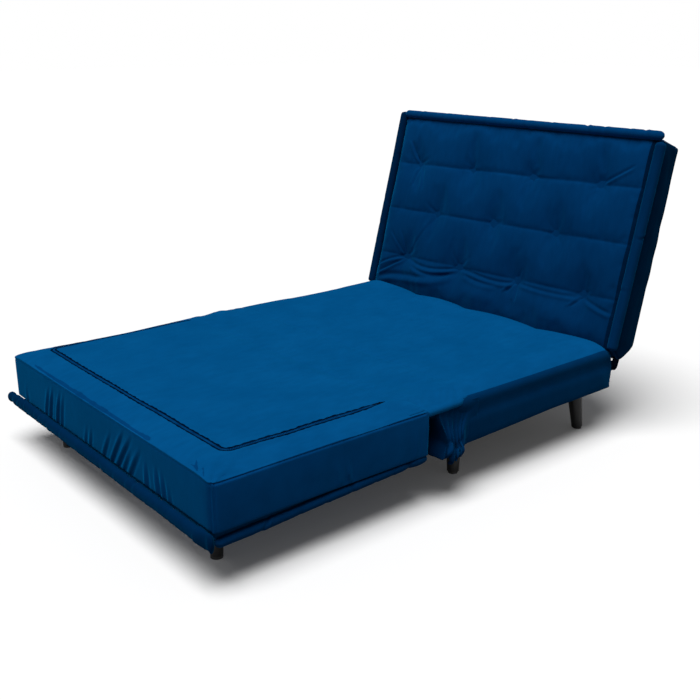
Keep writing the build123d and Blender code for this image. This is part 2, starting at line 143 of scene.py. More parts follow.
def cloud(points, size, seed):  # smooth noise from -1 to 1; size may differ by axis
    q = points / np.asarray(size, float)
    cell = np.floor(q).astype(np.int64)
    t = q - cell
    t = t * t * (3 - 2 * t)
    total = np.zeros(q.shape[:-1])
    for corner in range(8):
        step = np.array([corner & 1, corner >> 1 & 1, corner >> 2 & 1])
        k = cell + step
        key = (k[..., 0] * 73856093) ^ (k[..., 1] * 19349663) ^ (k[..., 2] * 83492791) ^ (seed * 2654435761)
        key = ((key ^ (key >> 13)) * 1274126177) & 0x7FFFFFFF
        total += np.prod(np.where(step, t, 1 - t), axis=-1) * ((key % 20011) / 10005.0 - 1)
    return total


def smooth(value, low, high):
    t = np.clip((value - low) / (high - low), 0, 1)
    return t * t * (3 - 2 * t)


def bump(value, width):
    return np.exp(-(value / width) ** 2)


def dome(distance, reach):
    return 1 - (1 - np.clip(distance / reach, 0, 1)) ** 2


def arch(share):
    return np.sin(np.pi * share)


def workObject(points, faces):
    mesh = bpy.data.meshes.new("work")
    mesh.from_pydata(points.tolist(), [], faces.tolist())
    obj = bpy.data.objects.new("work", mesh)
    scene.collection.objects.link(obj)
    return obj


def readBack(obj):
    shaped = bpy.data.meshes.new_from_object(obj.evaluated_get(bpy.context.evaluated_depsgraph_get()))
    points = np.empty(len(shaped.vertices) * 3)
    shaped.vertices.foreach_get("co", points)
    corners = np.empty(len(shaped.loops), int)
    shaped.loops.foreach_get("vertex_index", corners)
    bpy.data.meshes.remove(shaped)
    mesh = obj.data
    bpy.data.objects.remove(obj)
    bpy.data.meshes.remove(mesh)
    return points.reshape(-1, 3), corners.reshape(-1, 4)


def subdivided(points, faces):
    obj = workObject(points, faces)
    obj.modifiers.new("finer", "SUBSURF").levels = 1
    return readBack(obj)


def inflated(points, faces, pinned, settings):  # cloth under pressure, with stitched points held
    obj = workObject(points, faces)
    held = obj.vertex_groups.new(name="stitched")
    held.add(np.flatnonzero(pinned).tolist(), 1.0, "REPLACE")
    puff = obj.modifiers.new("padding", "CLOTH")
    cloth = puff.settings
    cloth.quality = 5
    cloth.mass = 0.3
    cloth.tension_stiffness = cloth.compression_stiffness = settings["stiffness"]
    cloth.shear_stiffness = settings["stiffness"] / 2
    cloth.bending_stiffness = settings["bending"]
    cloth.use_pressure = True
    cloth.uniform_pressure_force = settings["pressure"]
    cloth.shrink_min = -settings["spareCloth"]
    cloth.vertex_group_mass = "stitched"
    cloth.effector_weights.gravity = 0
    puff.point_cache.frame_start = 1
    puff.point_cache.frame_end = settings["frames"]
    for number in range(1, settings["frames"] + 1):
        scene.frame_set(number)
    move = readBack(obj)[0] - points
    scene.frame_set(1)
    far = np.linalg.norm(move, axis=1, keepdims=True)
    return points + move * np.minimum(1, settings["cap"] / np.maximum(far, 1e-9))


def puffedOut(points, faces, pinned, settings):
    points, faces = subdivided(inflated(points, faces, pinned, settings), faces)
    return points, faces, normalsOf(points, faces)


def makePiece(name, points, faces, material, bodyName, shadeCopies=()):
    mesh = bpy.data.meshes.new(name)
    mesh.from_pydata(points.tolist(), [], [list(f) for f in faces])
    mesh.shade_smooth()
    mesh.materials.append(material)
    index = np.zeros(len(faces), np.int32)
    for number, (cloth, chosen) in enumerate(shadeCopies, 1):  # darker copies of the cloth on some faces, a painted shade
        mesh.materials.append(cloth)
        index[chosen] = number
    mesh.polygons.foreach_set("material_index", index)
    obj = bpy.data.objects.new(name, mesh)
    scene.collection.objects.link(obj)
    if bodyName:
        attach(obj, bodyName)
    return obj


def addThickness(obj, thickness, rim=True):
    solid = obj.modifiers.new("thickness", "SOLIDIFY")
    solid.thickness = thickness
    solid.offset = -1
    solid.use_rim = rim


def roundPlan(x, y, lowY, highY, radius):  # squeezes square plan corners on to quarter circles
    cx = np.clip(x, -half + radius, half - radius)
    cy = np.clip(y, lowY + radius, highY - radius)
    dx = (x - cx) / radius
    dy = (y - cy) / radius
    return cx + radius * dx * np.sqrt(1 - dy * dy / 2), cy + radius * dy * np.sqrt(1 - dx * dx / 2)


# materials
socketKinds = {1: "NodeSocketFloat", 3: "NodeSocketVector", 4: "NodeSocketColor"}


def newGroup(name, inputs, outputs):
    group = bpy.data.node_groups.new(name, "ShaderNodeTree")
    for label, value in inputs.items():
        socket = group.interface.new_socket(label, in_out="INPUT", socket_type=socketKinds[np.size(value)])
        socket.default_value = value
    for label in outputs:
        kind = socketKinds[4 if label == "Color" else 1]
        group.interface.new_socket(label, in_out="OUTPUT", socket_type=kind)
    return group, group.nodes.new("NodeGroupInput").outputs, group.nodes.new("NodeGroupOutput").inputs


def addNode(tree, kind, inputs, **options):  # an input is linked to another node, or set
    node = tree.nodes.new("ShaderNode" + kind)
    for name, value in options.items():
        setattr(node, name, value)
    for label, value in inputs.items():
        if isinstance(value, bpy.types.NodeSocket):
            tree.links.new(value, node.inputs[label])
        else:
            node.inputs[label].default_value = value
    return node.outputs


def addNoise(tree, vector, scale, detail):
    return addNode(tree, "TexNoise", {"Vector": vector, "Scale": scale, "Detail": detail})["Fac"]


def addMath(tree, operation, first, second):
    return addNode(tree, "Math", {0: first, 1: second}, operation=operation)[0]


def addRange(tree, value, fromLow, fromHigh, toLow, toHigh):
    return addNode(tree, "MapRange", {"Value": value, "From Min": fromLow, "From Max": fromHigh,
                                      "To Min": toLow, "To Max": toHigh})["Result"]


def addMix(tree, blend, factor, first, second):
    inputs = {"Factor": factor, "A": first, "B": second}
    return addNode(tree, "Mix", inputs, data_type="RGBA", blend_type=blend)["Result"]


def buildToneDrift():  # slow change of tone over a surface, with fine specks
    group, given, out = newGroup("toneDrift", {
        "Vector": (0, 0, 0), "Deep": (0, 0, 0, 1), "Light": (1, 1, 1, 1), "Patch Scale": 6.0, "Speck Scale": 300.0,
        "Speck Share": 0.3}, ("Color", "Mask", "Speck"))
    patch = addRange(group, addNoise(group, given["Vector"], given["Patch Scale"], 3.0), 0.3, 0.7, 0.0, 1.0)
    speck = addNoise(group, given["Vector"], given["Speck Scale"], 2.0)
    speckPart = addMath(group, "MULTIPLY", addMath(group, "SUBTRACT", speck, 0.5), given["Speck Share"])
    mask = addMath(group, "ADD", patch, speckPart)
    group.links.new(addMix(group, "MIX", mask, given["Deep"], given["Light"]), out["Color"])
    group.links.new(mask, out["Mask"])
    group.links.new(speck, out["Speck"])
    return group


def buildFineGrain():  # streaks that run along one axis, for timber, brushed steel and combed pile
    group, given, out = newGroup("fineGrain", {"Vector": (0, 0, 0), "Stretch": (1, 1, 1), "Scale": 40.0},
                                 ("Streak", "Height"))
    scaled = addNode(group, "VectorMath", {0: given["Vector"], 1: given["Stretch"]}, operation="MULTIPLY")[0]
    coarse = addNoise(group, scaled, given["Scale"], 4.0)
    fine = addNoise(group, scaled, addMath(group, "MULTIPLY", given["Scale"], 6.0), 2.0)
    height = addMath(group, "ADD", addMath(group, "MULTIPLY", coarse, 0.6), addMath(group, "MULTIPLY", fine, 0.4))
    group.links.new(addRange(group, coarse, 0.3, 0.7, 0.0, 1.0), out["Streak"])
    group.links.new(height, out["Height"])
    return group


toneDrift = buildToneDrift()
fineGrain = buildFineGrain()


def startMaterial(name, shader):
    material = bpy.data.materials.new(name)
    material.use_nodes = True
    tree = material.node_tree
    surface = tree.nodes["Principled BSDF"].inputs
    for label, value in shader.items():
        surface[label].default_value = value
    return material, tree, surface


def buildSurface(name, look, shader):
    material, tree, surface = startMaterial(name, shader)
    place = addNode(tree, "TexCoord", {})["Object"]
    tone = addNode(tree, "Group", {
        "Vector": place, "Deep": look["deep"], "Light": look["light"], "Patch Scale": look["patch"],
        "Speck Scale": look["speck"], "Speck Share": look["speckShare"]}, node_tree=toneDrift)
    grain = addNode(tree, "Group", {"Vector": place, "Stretch": look["stretch"], "Scale": look["grain"]},
                    node_tree=fineGrain)
    shade = addRange(tree, grain["Streak"], 0.0, 1.0, *look["shade"])
    rough, relief = grain["Streak"], grain["Height"]
    # painted shade and light: the colour is scaled by height in the object's space
    if "fade" in look:
        up = addNode(tree, "SeparateXYZ", {0: place})["Z"]
        shade = addMath(tree, "MULTIPLY", shade, addRange(tree, up, *look["fade"]))
    if "pile" in look:
        rough = tone["Mask"]
        relief = addMath(tree, "ADD", tone["Speck"], addMath(tree, "MULTIPLY", relief, look["pile"]))
    bumped = addNode(tree, "Bump", {"Strength": look["bump"], "Distance": look["bumpDepth"], "Height": relief})
    tree.links.new(addMix(tree, "MULTIPLY", 1.0, tone["Color"], shade), surface["Base Color"])
    tree.links.new(addRange(tree, rough, 0.0, 1.0, *look["roughness"]), surface["Roughness"])
    tree.links.new(bumped["Normal"], surface["Normal"])
    return material


velvetLook = {"deep": (0.0008, 0.0650, 0.206, 1), "light": (0.0014, 0.0770, 0.236, 1), "patch": 7.0, "speck": 900.0,
              "speckShare": 0.9, "stretch": (1.0, 0.35, 0.35), "grain": 70.0, "shade": (0.93, 1.06),
              "roughness": (0.95, 0.78), "bump": 0.22, "bumpDepth": 0.0008, "pile": 0.6}
velvetSheen = {"weight": 0.5, "roughness": 0.42, "tint": (0.0, 0.44, 1.0, 1)}


def buildVelvet(name, share, green=0.87, **more):  # darker copies of the velvet, a painted shade for faces that the lamps light less; share scales colour and sheen
    darker = np.array([share, green * share, share, 1])
    look = dict(velvetLook, **more)
    for tone in ("deep", "light"):
        look[tone] = (darker * velvetLook[tone]).tolist()
    return buildSurface(name, look, {
        "Specular IOR Level": 0.0, "Sheen Weight": velvetSheen["weight"] * share,
        "Sheen Roughness": velvetSheen["roughness"], "Sheen Tint": velvetSheen["tint"]})


velvet = buildVelvet("royalVelvet", 1.0, green=1.0)
# each copy below is the same velvet darkened as a painted shade for the faces it goes on
velvetShadedBack = buildVelvet("royalVelvetShadedBack", 0.66, fade=(0.27, 0.80, 0.70, 1.10))  # painted shade and light by height: darker toward the seat, lighter toward the top
velvetShadedFront = buildVelvet("royalVelvetShadedFront", 0.66)
velvetShadedFlank = buildVelvet("royalVelvetShadedFlank", 0.84)
velvetShadedSide = buildVelvet("royalVelvetShadedSide", 0.44)
velvetShadedRoll = buildVelvet("royalVelvetShadedRoll", 0.30)
velvetShadedDeep = buildVelvet("royalVelvetShadedDeep", 0.205)

lookParts = ("deep", "light", "patch", "speck", "speckShare", "stretch", "grain", "shade", "roughness", "bump",
             "bumpDepth")
allWays = (1.0, 1.0, 1.0)
specular = "Specular IOR Level"
grainedLooks = {  # in the order of lookParts, then what the shader itself is set to
    "blackLacquer": ((0.004, 0.004, 0.0045, 1), (0.009, 0.009, 0.0095, 1), 14.0, 400.0, 0.4, (1.0, 1.0, 0.12), 90.0,
                     (0.7, 1.0), (0.55, 0.42), 0.1, 0.0005, {specular: 0.25}),
    "planedPine": ((0.40, 0.25, 0.12, 1), (0.62, 0.43, 0.24, 1), 5.0, 260.0, 0.3, (1.0, 1.0, 0.3), 60.0,
                   (0.72, 1.0), (0.75, 0.6), 0.25, 0.0008, {specular: 0.3}),
    "zincSteel": ((0.085, 0.088, 0.095, 1), (0.135, 0.138, 0.145, 1), 22.0, 500.0, 0.4, (1.0, 0.08, 1.0), 220.0,
                  (0.86, 1.0), (0.55, 0.38), 0.08, 0.0003, {"Metallic": 0.85}),
    "openFoam": ((0.70, 0.62, 0.42, 1), (0.86, 0.80, 0.60, 1), 9.0, 700.0, 0.9, allWays, 240.0,
                 (0.85, 1.0), (1.0, 0.9), 0.6, 0.001, {specular: 0.1}),
    "elasticWebbing": ((0.02, 0.02, 0.022, 1), (0.07, 0.07, 0.075, 1), 20.0, 600.0, 0.8, (1.0, 0.1, 0.1), 420.0,
                       (0.5, 1.0), (0.95, 0.8), 0.5, 0.0006, {specular: 0.2}),
    "nonWovenCloth": ((0.008, 0.008, 0.009, 1), (0.022, 0.022, 0.024, 1), 12.0, 850.0, 0.9, allWays, 330.0,
                      (0.7, 1.0), (1.0, 0.85), 0.4, 0.0005, {specular: 0.15}),
    "glidePlastic": ((0.012, 0.012, 0.012, 1), (0.03, 0.03, 0.03, 1), 30.0, 900.0, 0.6, allWays, 500.0,
                     (0.85, 1.0), (0.7, 0.55), 0.2, 0.0003, {specular: 0.4}),
    "zipTape": ((0.0, 0.003, 0.014, 1), (0.0, 0.009, 0.036, 1), 25.0, 900.0, 0.8, allWays, 600.0,
                (0.6, 1.0), (0.9, 0.75), 0.5, 0.0004, {specular: 0.0}),
    "zipCoil": ((0.0, 0.034, 0.125, 1), (0.001, 0.062, 0.205, 1), 40.0, 900.0, 0.5, allWays, 500.0,
                (0.8, 1.0), (0.9, 0.7), 0.1, 0.0002, {specular: 0.0}),
    "darkEnamel": ((0.001, 0.004, 0.012, 1), (0.003, 0.009, 0.024, 1), 40.0, 900.0, 0.4, allWays, 300.0,
                   (0.85, 1.0), (0.7, 0.5), 0.1, 0.0002, {specular: 0.0}),
}
grained = {name: buildSurface(name, dict(zip(lookParts, look)), look[-1]) for name, look in grainedLooks.items()}
slotLooks = {"timber": "planedPine", "foam": "openFoam", "webbing": "elasticWebbing", "dust_cloth": "nonWovenCloth",
             "leg_black": "blackLacquer", "glide": "glidePlastic", "steel": "zincSteel", "zip": "zipTape",
             "zip_metal": "darkEnamel"}
for part in frame["record"]["subparts"]:
    materials = frame["nodes"][part["node"]].data.materials
    materials.clear()
    look = "darkEnamel" if part["node"].startswith("recline") else slotLooks.get(part["material_slot"])
    materials.append(grained[look] if look else velvet)
print("materials built")


def gridLines(length, step, fine, startFine, endFine):  # shares of a length, closer together near its ends
    start = np.arange(0, startFine, fine)
    end = length - np.arange(0, endFine, fine)
    count = max(2, round((length - startFine - endFine) / step) + 1)
    middle = np.linspace(startFine, length - endFine, count)
    return np.unique(np.round(np.concatenate([start, middle, end]), 6)) / length


def heightsOn(points, faces):  # looks straight down on a finished surface
    tree = BVHTree.FromPolygons(points.tolist(), faces.tolist())

    def heights(x, y):
        down = Vector((0, 0, -1))
        found = [tree.ray_cast(Vector((a, b, 1.0)), down)[0] for a, b in zip(np.ravel(x), np.ravel(y))]
        return np.array([body["seam"] if spot is None else spot.z for spot in found]).reshape(np.shape(x))

    return heights


topWaves = ((0.0016, (0.16, 0.11, 1), 11), (0.0005, (0.05, 0.03, 1), 12))  # height, size and seed


def waved(points, waves):
    return sum(height * cloud(points, size, seed) for height, size, seed in waves)


def ridges(off, rows):  # each row has a height, a place and a width
    return sum(height * bump(off - place, width) for height, place, width in rows)


foldPad = {
    "step": (0.0065, 0.0105, 0.0105),
    "fineStep": 0.0028,
    "fineEnds": ((0.020, 0.020), (0.024, 0.016), (0.0, 0.012)),
    "length": 0.606,
    "corner": 0.017,
    "rearCorner": 0.009,
    "frontHem": 0.1395,
    "sideHem": 0.1350,
    "pullIn": 0.002,
    "belly": 0.002,
    "frontShoulder": 0.040,
    "frontDrop": 0.60,
    "slotX": 0.387,
    "slotHalf": 0.0235,
    "slotY": (0.064, 0.270),
    "slotRoof": 0.1912,
    "puff": {"stiffness": 18.0, "bending": 6.0, "pressure": 2.5, "spareCloth": 0.0, "frames": 12, "cap": 0.003},
    "seamDepth": 0.0034,
    "seamWidth": 0.0030,
    "frontSeam": ((0.0010, -0.002, 0.0024), (-0.0007, -0.0075, 0.0030)),
    "zipRidges": ((0.0016, 0.0105, 0.005), (-0.0012, 0.0, 0.006)),
    "sideWave": 0.0014,
    "frontWave": 0.0012,
    "stitchRows": (-0.001, 0.0075),
    "stitchDepth": 0.0020,
    "drawnFoot": 0.145,
    "drawnTall": 0.105,
    "drawnFade": 0.055,
    "drawnStart": (0.136, 0.146),
    # folds drawn up from the lower seam: place there, place at the upper seam, height where it ends, width, depth
    "puckers": [
        (-0.440, -0.430, 0.200, 0.0070, 0.0016), (-0.312, -0.268, 0.240, 0.0062, 0.0026),
        (-0.283, -0.244, 0.243, 0.0056, 0.0034), (-0.240, -0.201, 0.245, 0.0060, 0.0034),
        (-0.214, -0.180, 0.246, 0.0064, 0.0022), (-0.074, -0.035, 0.202, 0.0054, 0.0020),
        (-0.048, -0.010, 0.206, 0.0054, 0.0022), (0.024, 0.092, 0.226, 0.0060, 0.0026),
        (0.066, 0.143, 0.252, 0.0056, 0.0036), (0.097, 0.181, 0.250, 0.0064, 0.0036),
        (0.127, 0.200, 0.216, 0.0060, 0.0028), (0.157, 0.234, 0.234, 0.0070, 0.0032),
        (0.235, 0.240, 0.212, 0.0064, 0.0032), (0.287, 0.281, 0.216, 0.0062, 0.0036),
        (0.314, 0.307, 0.214, 0.0060, 0.0030), (0.338, 0.333, 0.190, 0.0060, 0.0022)],
    "sideFolds": [
        (0.331, 0.315, 0.226, 0.0062, 0.0020), (0.342, 0.341, 0.214, 0.0050, 0.0024),
        (0.362, 0.345, 0.218, 0.0058, 0.0022), (0.563, 0.566, 0.226, 0.0060, 0.0016),
        (0.580, 0.585, 0.232, 0.0050, 0.0018), (0.592, 0.597, 0.236, 0.0045, 0.0016)],
}


def foldCrown(x, y):
    rise = body["crown"] + 0.001 - body["seam"]
    sides = dome(half - np.abs(x), body["shoulder"])
    front = 1 - foldPad["frontDrop"] * (1 - dome(y - alongY(0), foldPad["frontShoulder"]))
    rear = dome(alongY(foldPad["length"]) - y, body["creaseShoulder"])
    return body["seam"] + rise * sides * front * (0.15 + 0.85 * rear)


def inFootSlot(x, y):
    inX = np.abs(np.abs(x) - foldPad["slotX"]) < foldPad["slotHalf"]
    return inX & (y > alongY(foldPad["slotY"][0])) & (y < alongY(foldPad["slotY"][1]))


def drawnFolds(along, z, folds):
    shift = np.zeros_like(z)
    for low, high, ends, width, depth in folds:
        line = low + (high - low) * (z - foldPad["drawnFoot"]) / foldPad["drawnTall"]
        fade = (1 - smooth(z, ends - foldPad["drawnFade"], ends)) * smooth(z, *foldPad["drawnStart"])
        off = along - line
        shift += depth * fade * (bump(off, width) - 0.8 * bump(off - 1.9 * width, width))
    return shift


def makeFoldPad():
    front, rear = alongY(0), alongY(foldPad["length"])
    sizes = (2 * half, foldPad["length"], body["crown"] - body["underside"])
    lines = [gridLines(size, step, foldPad["fineStep"], *ends)
             for size, step, ends in zip(sizes, foldPad["step"], foldPad["fineEnds"])]
    unit, faces = unitShell([len(line) - 1 for line in lines])
    u, v, w = (line[np.rint(unit[:, n] * (len(line) - 1)).astype(int)] for n, line in enumerate(lines))
    x = (2 * u - 1) * half
    y = alongY(v * foldPad["length"])
    level = body["underside"] + 0.001
    low = np.where(inFootSlot(x, y), foldPad["slotRoof"], level)
    ahead = (level - foldPad["frontHem"]) * (1 - smooth(y - front, 0.004, 0.015))
    aside = (level - foldPad["sideHem"]) * (1 - smooth(half - np.abs(x), 0.002, 0.010))
    low -= np.maximum(ahead, aside)
    z = low + w * (foldCrown(x, y) - low)
    x, y = roundPlan(x, y, front, rear, np.where(v < 0.5, foldPad["corner"], foldPad["rearCorner"]))
    x = x * (1 - foldPad["pullIn"] / half * arch(v) * np.abs(2 * u - 1))
    x = x + np.sign(x) * foldPad["belly"] * arch(w) * (np.abs(u - 0.5) > 0.499)
    bottom = w == 0
    points = relaxed(joined(x, y, z), faces, 2, bottom)
    onSeam = (np.abs(points[:, 2] - foldCrown(points[:, 0], points[:, 1])) < 0.004) & (w < 0.999)
    points, faces, normal = puffedOut(points, faces, bottom | onSeam, foldPad["puff"])
    x, y, z = points.T
    toX, toY, toZ = normal.T
    edgeZ = foldCrown(np.clip(x, -half, half), np.clip(y, front, rear))
    onSide, onFront = smooth(np.abs(toX), 0.5, 0.9), smooth(-toY, 0.5, 0.9)
    behind = smooth(rear - y, 0.004, 0.02)
    shift = -foldPad["seamDepth"] * bump(z - edgeZ + 0.004, foldPad["seamWidth"]) * onSide * behind
    shift += onFront * ridges(z - edgeZ, foldPad["frontSeam"])
    turn = (y - front) - (half - np.abs(x))
    atCorner = smooth(1 - np.abs(toZ), 0.5, 0.9) * (y < alongY(0.03)) * (np.abs(x) > half - 0.03)
    for place in foldPad["stitchRows"]:  # stitching down each front corner
        shift -= foldPad["stitchDepth"] * bump(turn - place, 0.0020) * atCorner
    shift += drawnFolds(x, z, foldPad["puckers"]) * onFront
    shift += drawnFolds(y - front, z, foldPad["sideFolds"]) * onSide
    underSeam = smooth(z, body["seam"], body["seam"] - 0.04)
    shift += foldPad["sideWave"] * cloud(joined(y * 12, 3.1, z * 2.5), 1.0, 5) * onSide * underSeam
    shift += foldPad["frontWave"] * cloud(joined(x * 9, 7.3, z * 4), 1.0, 6) * onFront * underSeam
    top = smooth(toZ, 0.6, 0.95)
    shift += top * waved(points, topWaves)
    shift += top * ridges(zipDistance(x, y), foldPad["zipRidges"])
    shift[smooth(-toZ, 0.6, 0.9) > 0] = 0
    points = points + normal * shift[:, None]
    # painted shade: the front and flank faces below the seam take darker velvet copies
    facing = unitLong(faceCrosses(points, faces))
    belowSeam = points[faces].mean(axis=1)[:, 2] < edgeZ[faces].mean(axis=1) - 0.003
    onFront = (facing[:, 1] < -0.4) & belowSeam
    onFlank = (np.abs(facing[:, 0]) > 0.6) & ~onFront & belowSeam
    pad = makePiece("foldPad", points, faces, velvet, "fold_out",
                    shadeCopies=[(velvetShadedFront, onFront), (velvetShadedFlank, onFlank)])
    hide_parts("fold_cover", "fold_foam", "fold_seat_foam")
    return heightsOn(points, faces)


# zip on the fold-out's top
zipLine = {"half": 0.440, "front": 0.080, "rear": 0.525, "corner": 0.022, "tape": 0.0165, "tapeStep": 0.004,
           "bead": 0.0070, "pitch": 0.0040, "slant": 0.30, "lift": 0.0006, "rise": 0.0016, "bareEnds": 3,
           "taper": 0.06, "sway": ((0.0012, 9, 0), (0.0008, 23, 1))}


def zipDistance(x, y):  # distance from the U that the zip follows
    r = zipLine["corner"]
    dx = np.abs(x) - (zipLine["half"] - r)
    dy = alongY(zipLine["front"]) + r - y
    corner = np.hypot(np.maximum(dx, 0), np.maximum(dy, 0)) - r
    inside = np.minimum(np.maximum(dx, dy), 0)
    return np.hypot(corner + inside, np.maximum(y - alongY(zipLine["rear"]), 0))


def zipRoute(step):
    r, side = zipLine["corner"], zipLine["half"]
    front, rear = alongY(zipLine["front"]), alongY(zipLine["rear"])
    turn = np.linspace(0, np.pi / 2, 24)
    line = np.concatenate([
        joined(side, np.linspace(rear, front + r, 200)),
        joined(side - r + r * np.cos(turn), front + r - r * np.sin(turn)),
        joined(np.linspace(side - r, -side + r, 300), front),
        joined(-side + r - r * np.sin(turn), front + r - r * np.cos(turn)),
        joined(-side, np.linspace(front + r, rear, 200))])
    gone = np.concatenate([[0], np.cumsum(np.linalg.norm(np.diff(line, axis=0), axis=1))])
    keep = np.concatenate([[True], np.diff(gone) > 1e-7])
    line, gone = line[keep], gone[keep]
    spots = np.arange(0, gone[-1], step)
    at = joined(*(np.interp(spots, gone, line[:, n]) for n in range(2)))
    ahead = np.gradient(at, axis=0)
    ahead /= np.linalg.norm(ahead, axis=1, keepdims=True)
    sway = sum(far * np.sin(spots * often + start) for far, often, start in zipLine["sway"])
    aside = joined(-ahead[:, 1], ahead[:, 0])
    taper = np.minimum(1, np.minimum(spots, spots[-1] - spots) / zipLine["taper"]) ** 0.7
    return at + aside * sway[:, None], ahead, aside, spots, taper


def makeZip(foldTop):
    at, ahead, aside, spots, taper = zipRoute(zipLine["tapeStep"])
    across = np.array([-0.5, -0.44, -0.22, 0.22, 0.44, 0.5])
    lift = np.array([-0.0008, 0.0009, 0.0007, 0.0007, 0.0009, -0.0008])
    ragged = 1 + 0.10 * np.sin(spots * 310) + 0.08 * np.sin(spots * 137)
    wide = zipLine["tape"] * np.maximum(taper, 0.12) * ragged
    flat = at[:, None, :] + aside[:, None, :] * (across[None, :, None] * wide[:, None, None])
    z = foldTop(flat[..., 0], flat[..., 1]) + lift[None, :]
    points = np.concatenate([flat, z[..., None]], -1).reshape(-1, 3)
    faces = gridFaces(len(spots), len(across))[:, ::-1]
    tape = makePiece("zipTape", points, faces, grained["zipTape"], "fold_out")
    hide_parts("zip_tape")
    at, ahead, aside, spots, taper = zipRoute(zipLine["pitch"])
    z = foldTop(at[:, 0], at[:, 1])
    shape = np.array([(-0.5, -0.40, 0.0), (0.5, -0.40, 0.0), (0.5, 0.40, 0.0), (-0.5, 0.40, 0.0),
                      (-0.34, -0.22, 1.0), (0.34, -0.22, 1.0), (0.34, 0.22, 1.0), (-0.34, 0.22, 1.0)])
    quads = np.array([(4, 5, 6, 7), (0, 1, 5, 4), (1, 2, 6, 5), (2, 3, 7, 6), (3, 0, 4, 7)])
    points, faces = [], []
    for number in range(zipLine["bareEnds"], len(spots) - zipLine["bareEnds"]):
        wide = (aside[number] + zipLine["slant"] * ahead[number]) * zipLine["bead"] * taper[number]
        flat = at[number] + shape[:, :1] * wide + shape[:, 1:2] * ahead[number] * zipLine["pitch"]
        high = z[number] + zipLine["lift"] + shape[:, 2] * zipLine["rise"]
        faces.append(quads + len(points) * len(shape))
        points.append(np.concatenate([flat, high[:, None]], 1))
    makePiece("zipTeeth", np.concatenate(points), np.concatenate(faces), grained["zipCoil"], "fold_out")


foldTop = makeFoldPad()
makeZip(foldTop)
print("fold-out pad and zip made")


# tufted faces, made flat as (across, behind, up) and then put in place
tufting = {
    "spacing": 0.0068,
    "rows": (0.126, 0.285, 0.443),
    "pitch": 0.248,
    "seamDepth": 0.005,
    "rise": 0.0045,
    "tuftDepth": 0.019,
    "tuftReach": 0.048,
    "pinReach": 0.007,
    "edgeSink": 0.004,
    "edgeReach": 0.022,
    "rowDepth": 0.0012,
    "rowWidth": 0.0028,
    "wave": 0.0012,
    "creaseCount": (3, 6),
    "creaseTurn": 0.4,
    "creaseLength": (0.035, 0.080),
    "creaseDepth": (0.0004, 0.0012),
    "puff": {"stiffness": 14.0, "bending": 1.5, "pressure": 2.0, "spareCloth": 0.01, "frames": 12, "cap": 0.0022},
}


def tuftSpots(wideFirst, shift, tilt):
    spots = []
    for number, row in enumerate(tufting["rows"]):
        count = 4 if (number % 2 == 0) == wideFirst else 3
        across = [(place - (count - 1) / 2) * tufting["pitch"] + shift[number] for place in range(count)]
        spots += [(x, row + tilt * x) for x in across]
    return spots


def creasesFor(spots, rng):  # each crease leaves a tuft: where from, which way, how long, how deep
    creases = []
    for x, s in spots:
        count = rng.integers(*tufting["creaseCount"])
        start = rng.uniform(0, 2 * np.pi)
        for number in range(count):
            angle = start + 2 * np.pi * number / count + rng.uniform(-tufting["creaseTurn"], tufting["creaseTurn"])
            creases.append((x, s, angle, rng.uniform(*tufting["creaseLength"]), rng.uniform(*tufting["creaseDepth"])))
    return creases


def creaseShift(x, s, creases):
    shift = np.zeros_like(x)
    for cx, cs, angle, length, depth in creases:
        ahead = (x - cx) * math.cos(angle) + (s - cs) * math.sin(angle)
        aside = -(x - cx) * math.sin(angle) + (s - cs) * math.cos(angle) + 0.10 * ahead * ahead / length
        width = 0.0032 + 0.055 * np.maximum(ahead, 0)
        along = smooth(ahead, 0.002, 0.012) * (1 - smooth(ahead, 0.4 * length, length))
        beside = bump(aside - 2 * width, width) + bump(aside + 2 * width, width)
        shift += depth * along * (bump(aside, width) - 0.45 * beside)
    return shift


def tuftedGrid(wide, low, high, wideFirst, seed, extraFolds=None, shift=(0, 0, 0), tilt=0.0):
    stitched, spacing = tufting["rows"], tufting["spacing"]

    def levelled(x, s):  # height as the stitched rows run
        return s - tilt * x * smooth(s, low, stitched[0]) * (1 - smooth(s, stitched[-1], high))

    rng = np.random.default_rng(seed)
    columns = round(2 * wide / spacing) + 1
    rows = round((high - low) / spacing) + 1
    s, x = (v.ravel() for v in crossed(np.linspace(low, high, rows), np.linspace(-wide, wide, columns)))
    faces = gridFaces(rows, columns)
    ends = (low, *stitched, high)
    depth = np.full_like(x, tufting["seamDepth"])
    for start, stop in zip(ends[:-1], ends[1:]):
        t = np.clip((levelled(x, s) - start) / (stop - start), 0, 1)
        depth -= tufting["rise"] * (stop - start) / 0.16 * arch(t) ** 0.75
    edge = np.minimum(wide - np.abs(x), np.minimum(s - low, high - s))
    depth += (tufting["seamDepth"] + tufting["edgeSink"] - depth) * (1 - dome(edge, tufting["edgeReach"]))
    spots = tuftSpots(wideFirst, shift, tilt)
    pinned = edge < 1e-4
    for cx, cs in spots:
        away = np.hypot(x - cx, s - cs)
        depth += tufting["tuftDepth"] * np.exp(-(away / tufting["tuftReach"]) ** 1.2)
        pinned |= away < tufting["pinReach"]
    for row in stitched:
        pinned |= np.abs(levelled(x, s) - row) < spacing * 0.55
    points = inflated(joined(x, depth, s), faces, pinned, tufting["puff"])
    points, faces = subdivided(relaxed(points, faces, 1, pinned), faces)
    x, depth, s = points.T
    depth = depth + creaseShift(x, s, creasesFor(spots, rng))
    for row in stitched:
        depth = depth + tufting["rowDepth"] * bump(levelled(x, s) - row, tufting["rowWidth"])
    depth = depth + tufting["wave"] * cloud(joined(x, s, 0), (0.07, 0.07, 1), seed + 1)
    if extraFolds is not None:
        depth = depth + extraFolds(x, s)
    return joined(x, depth, s), faces


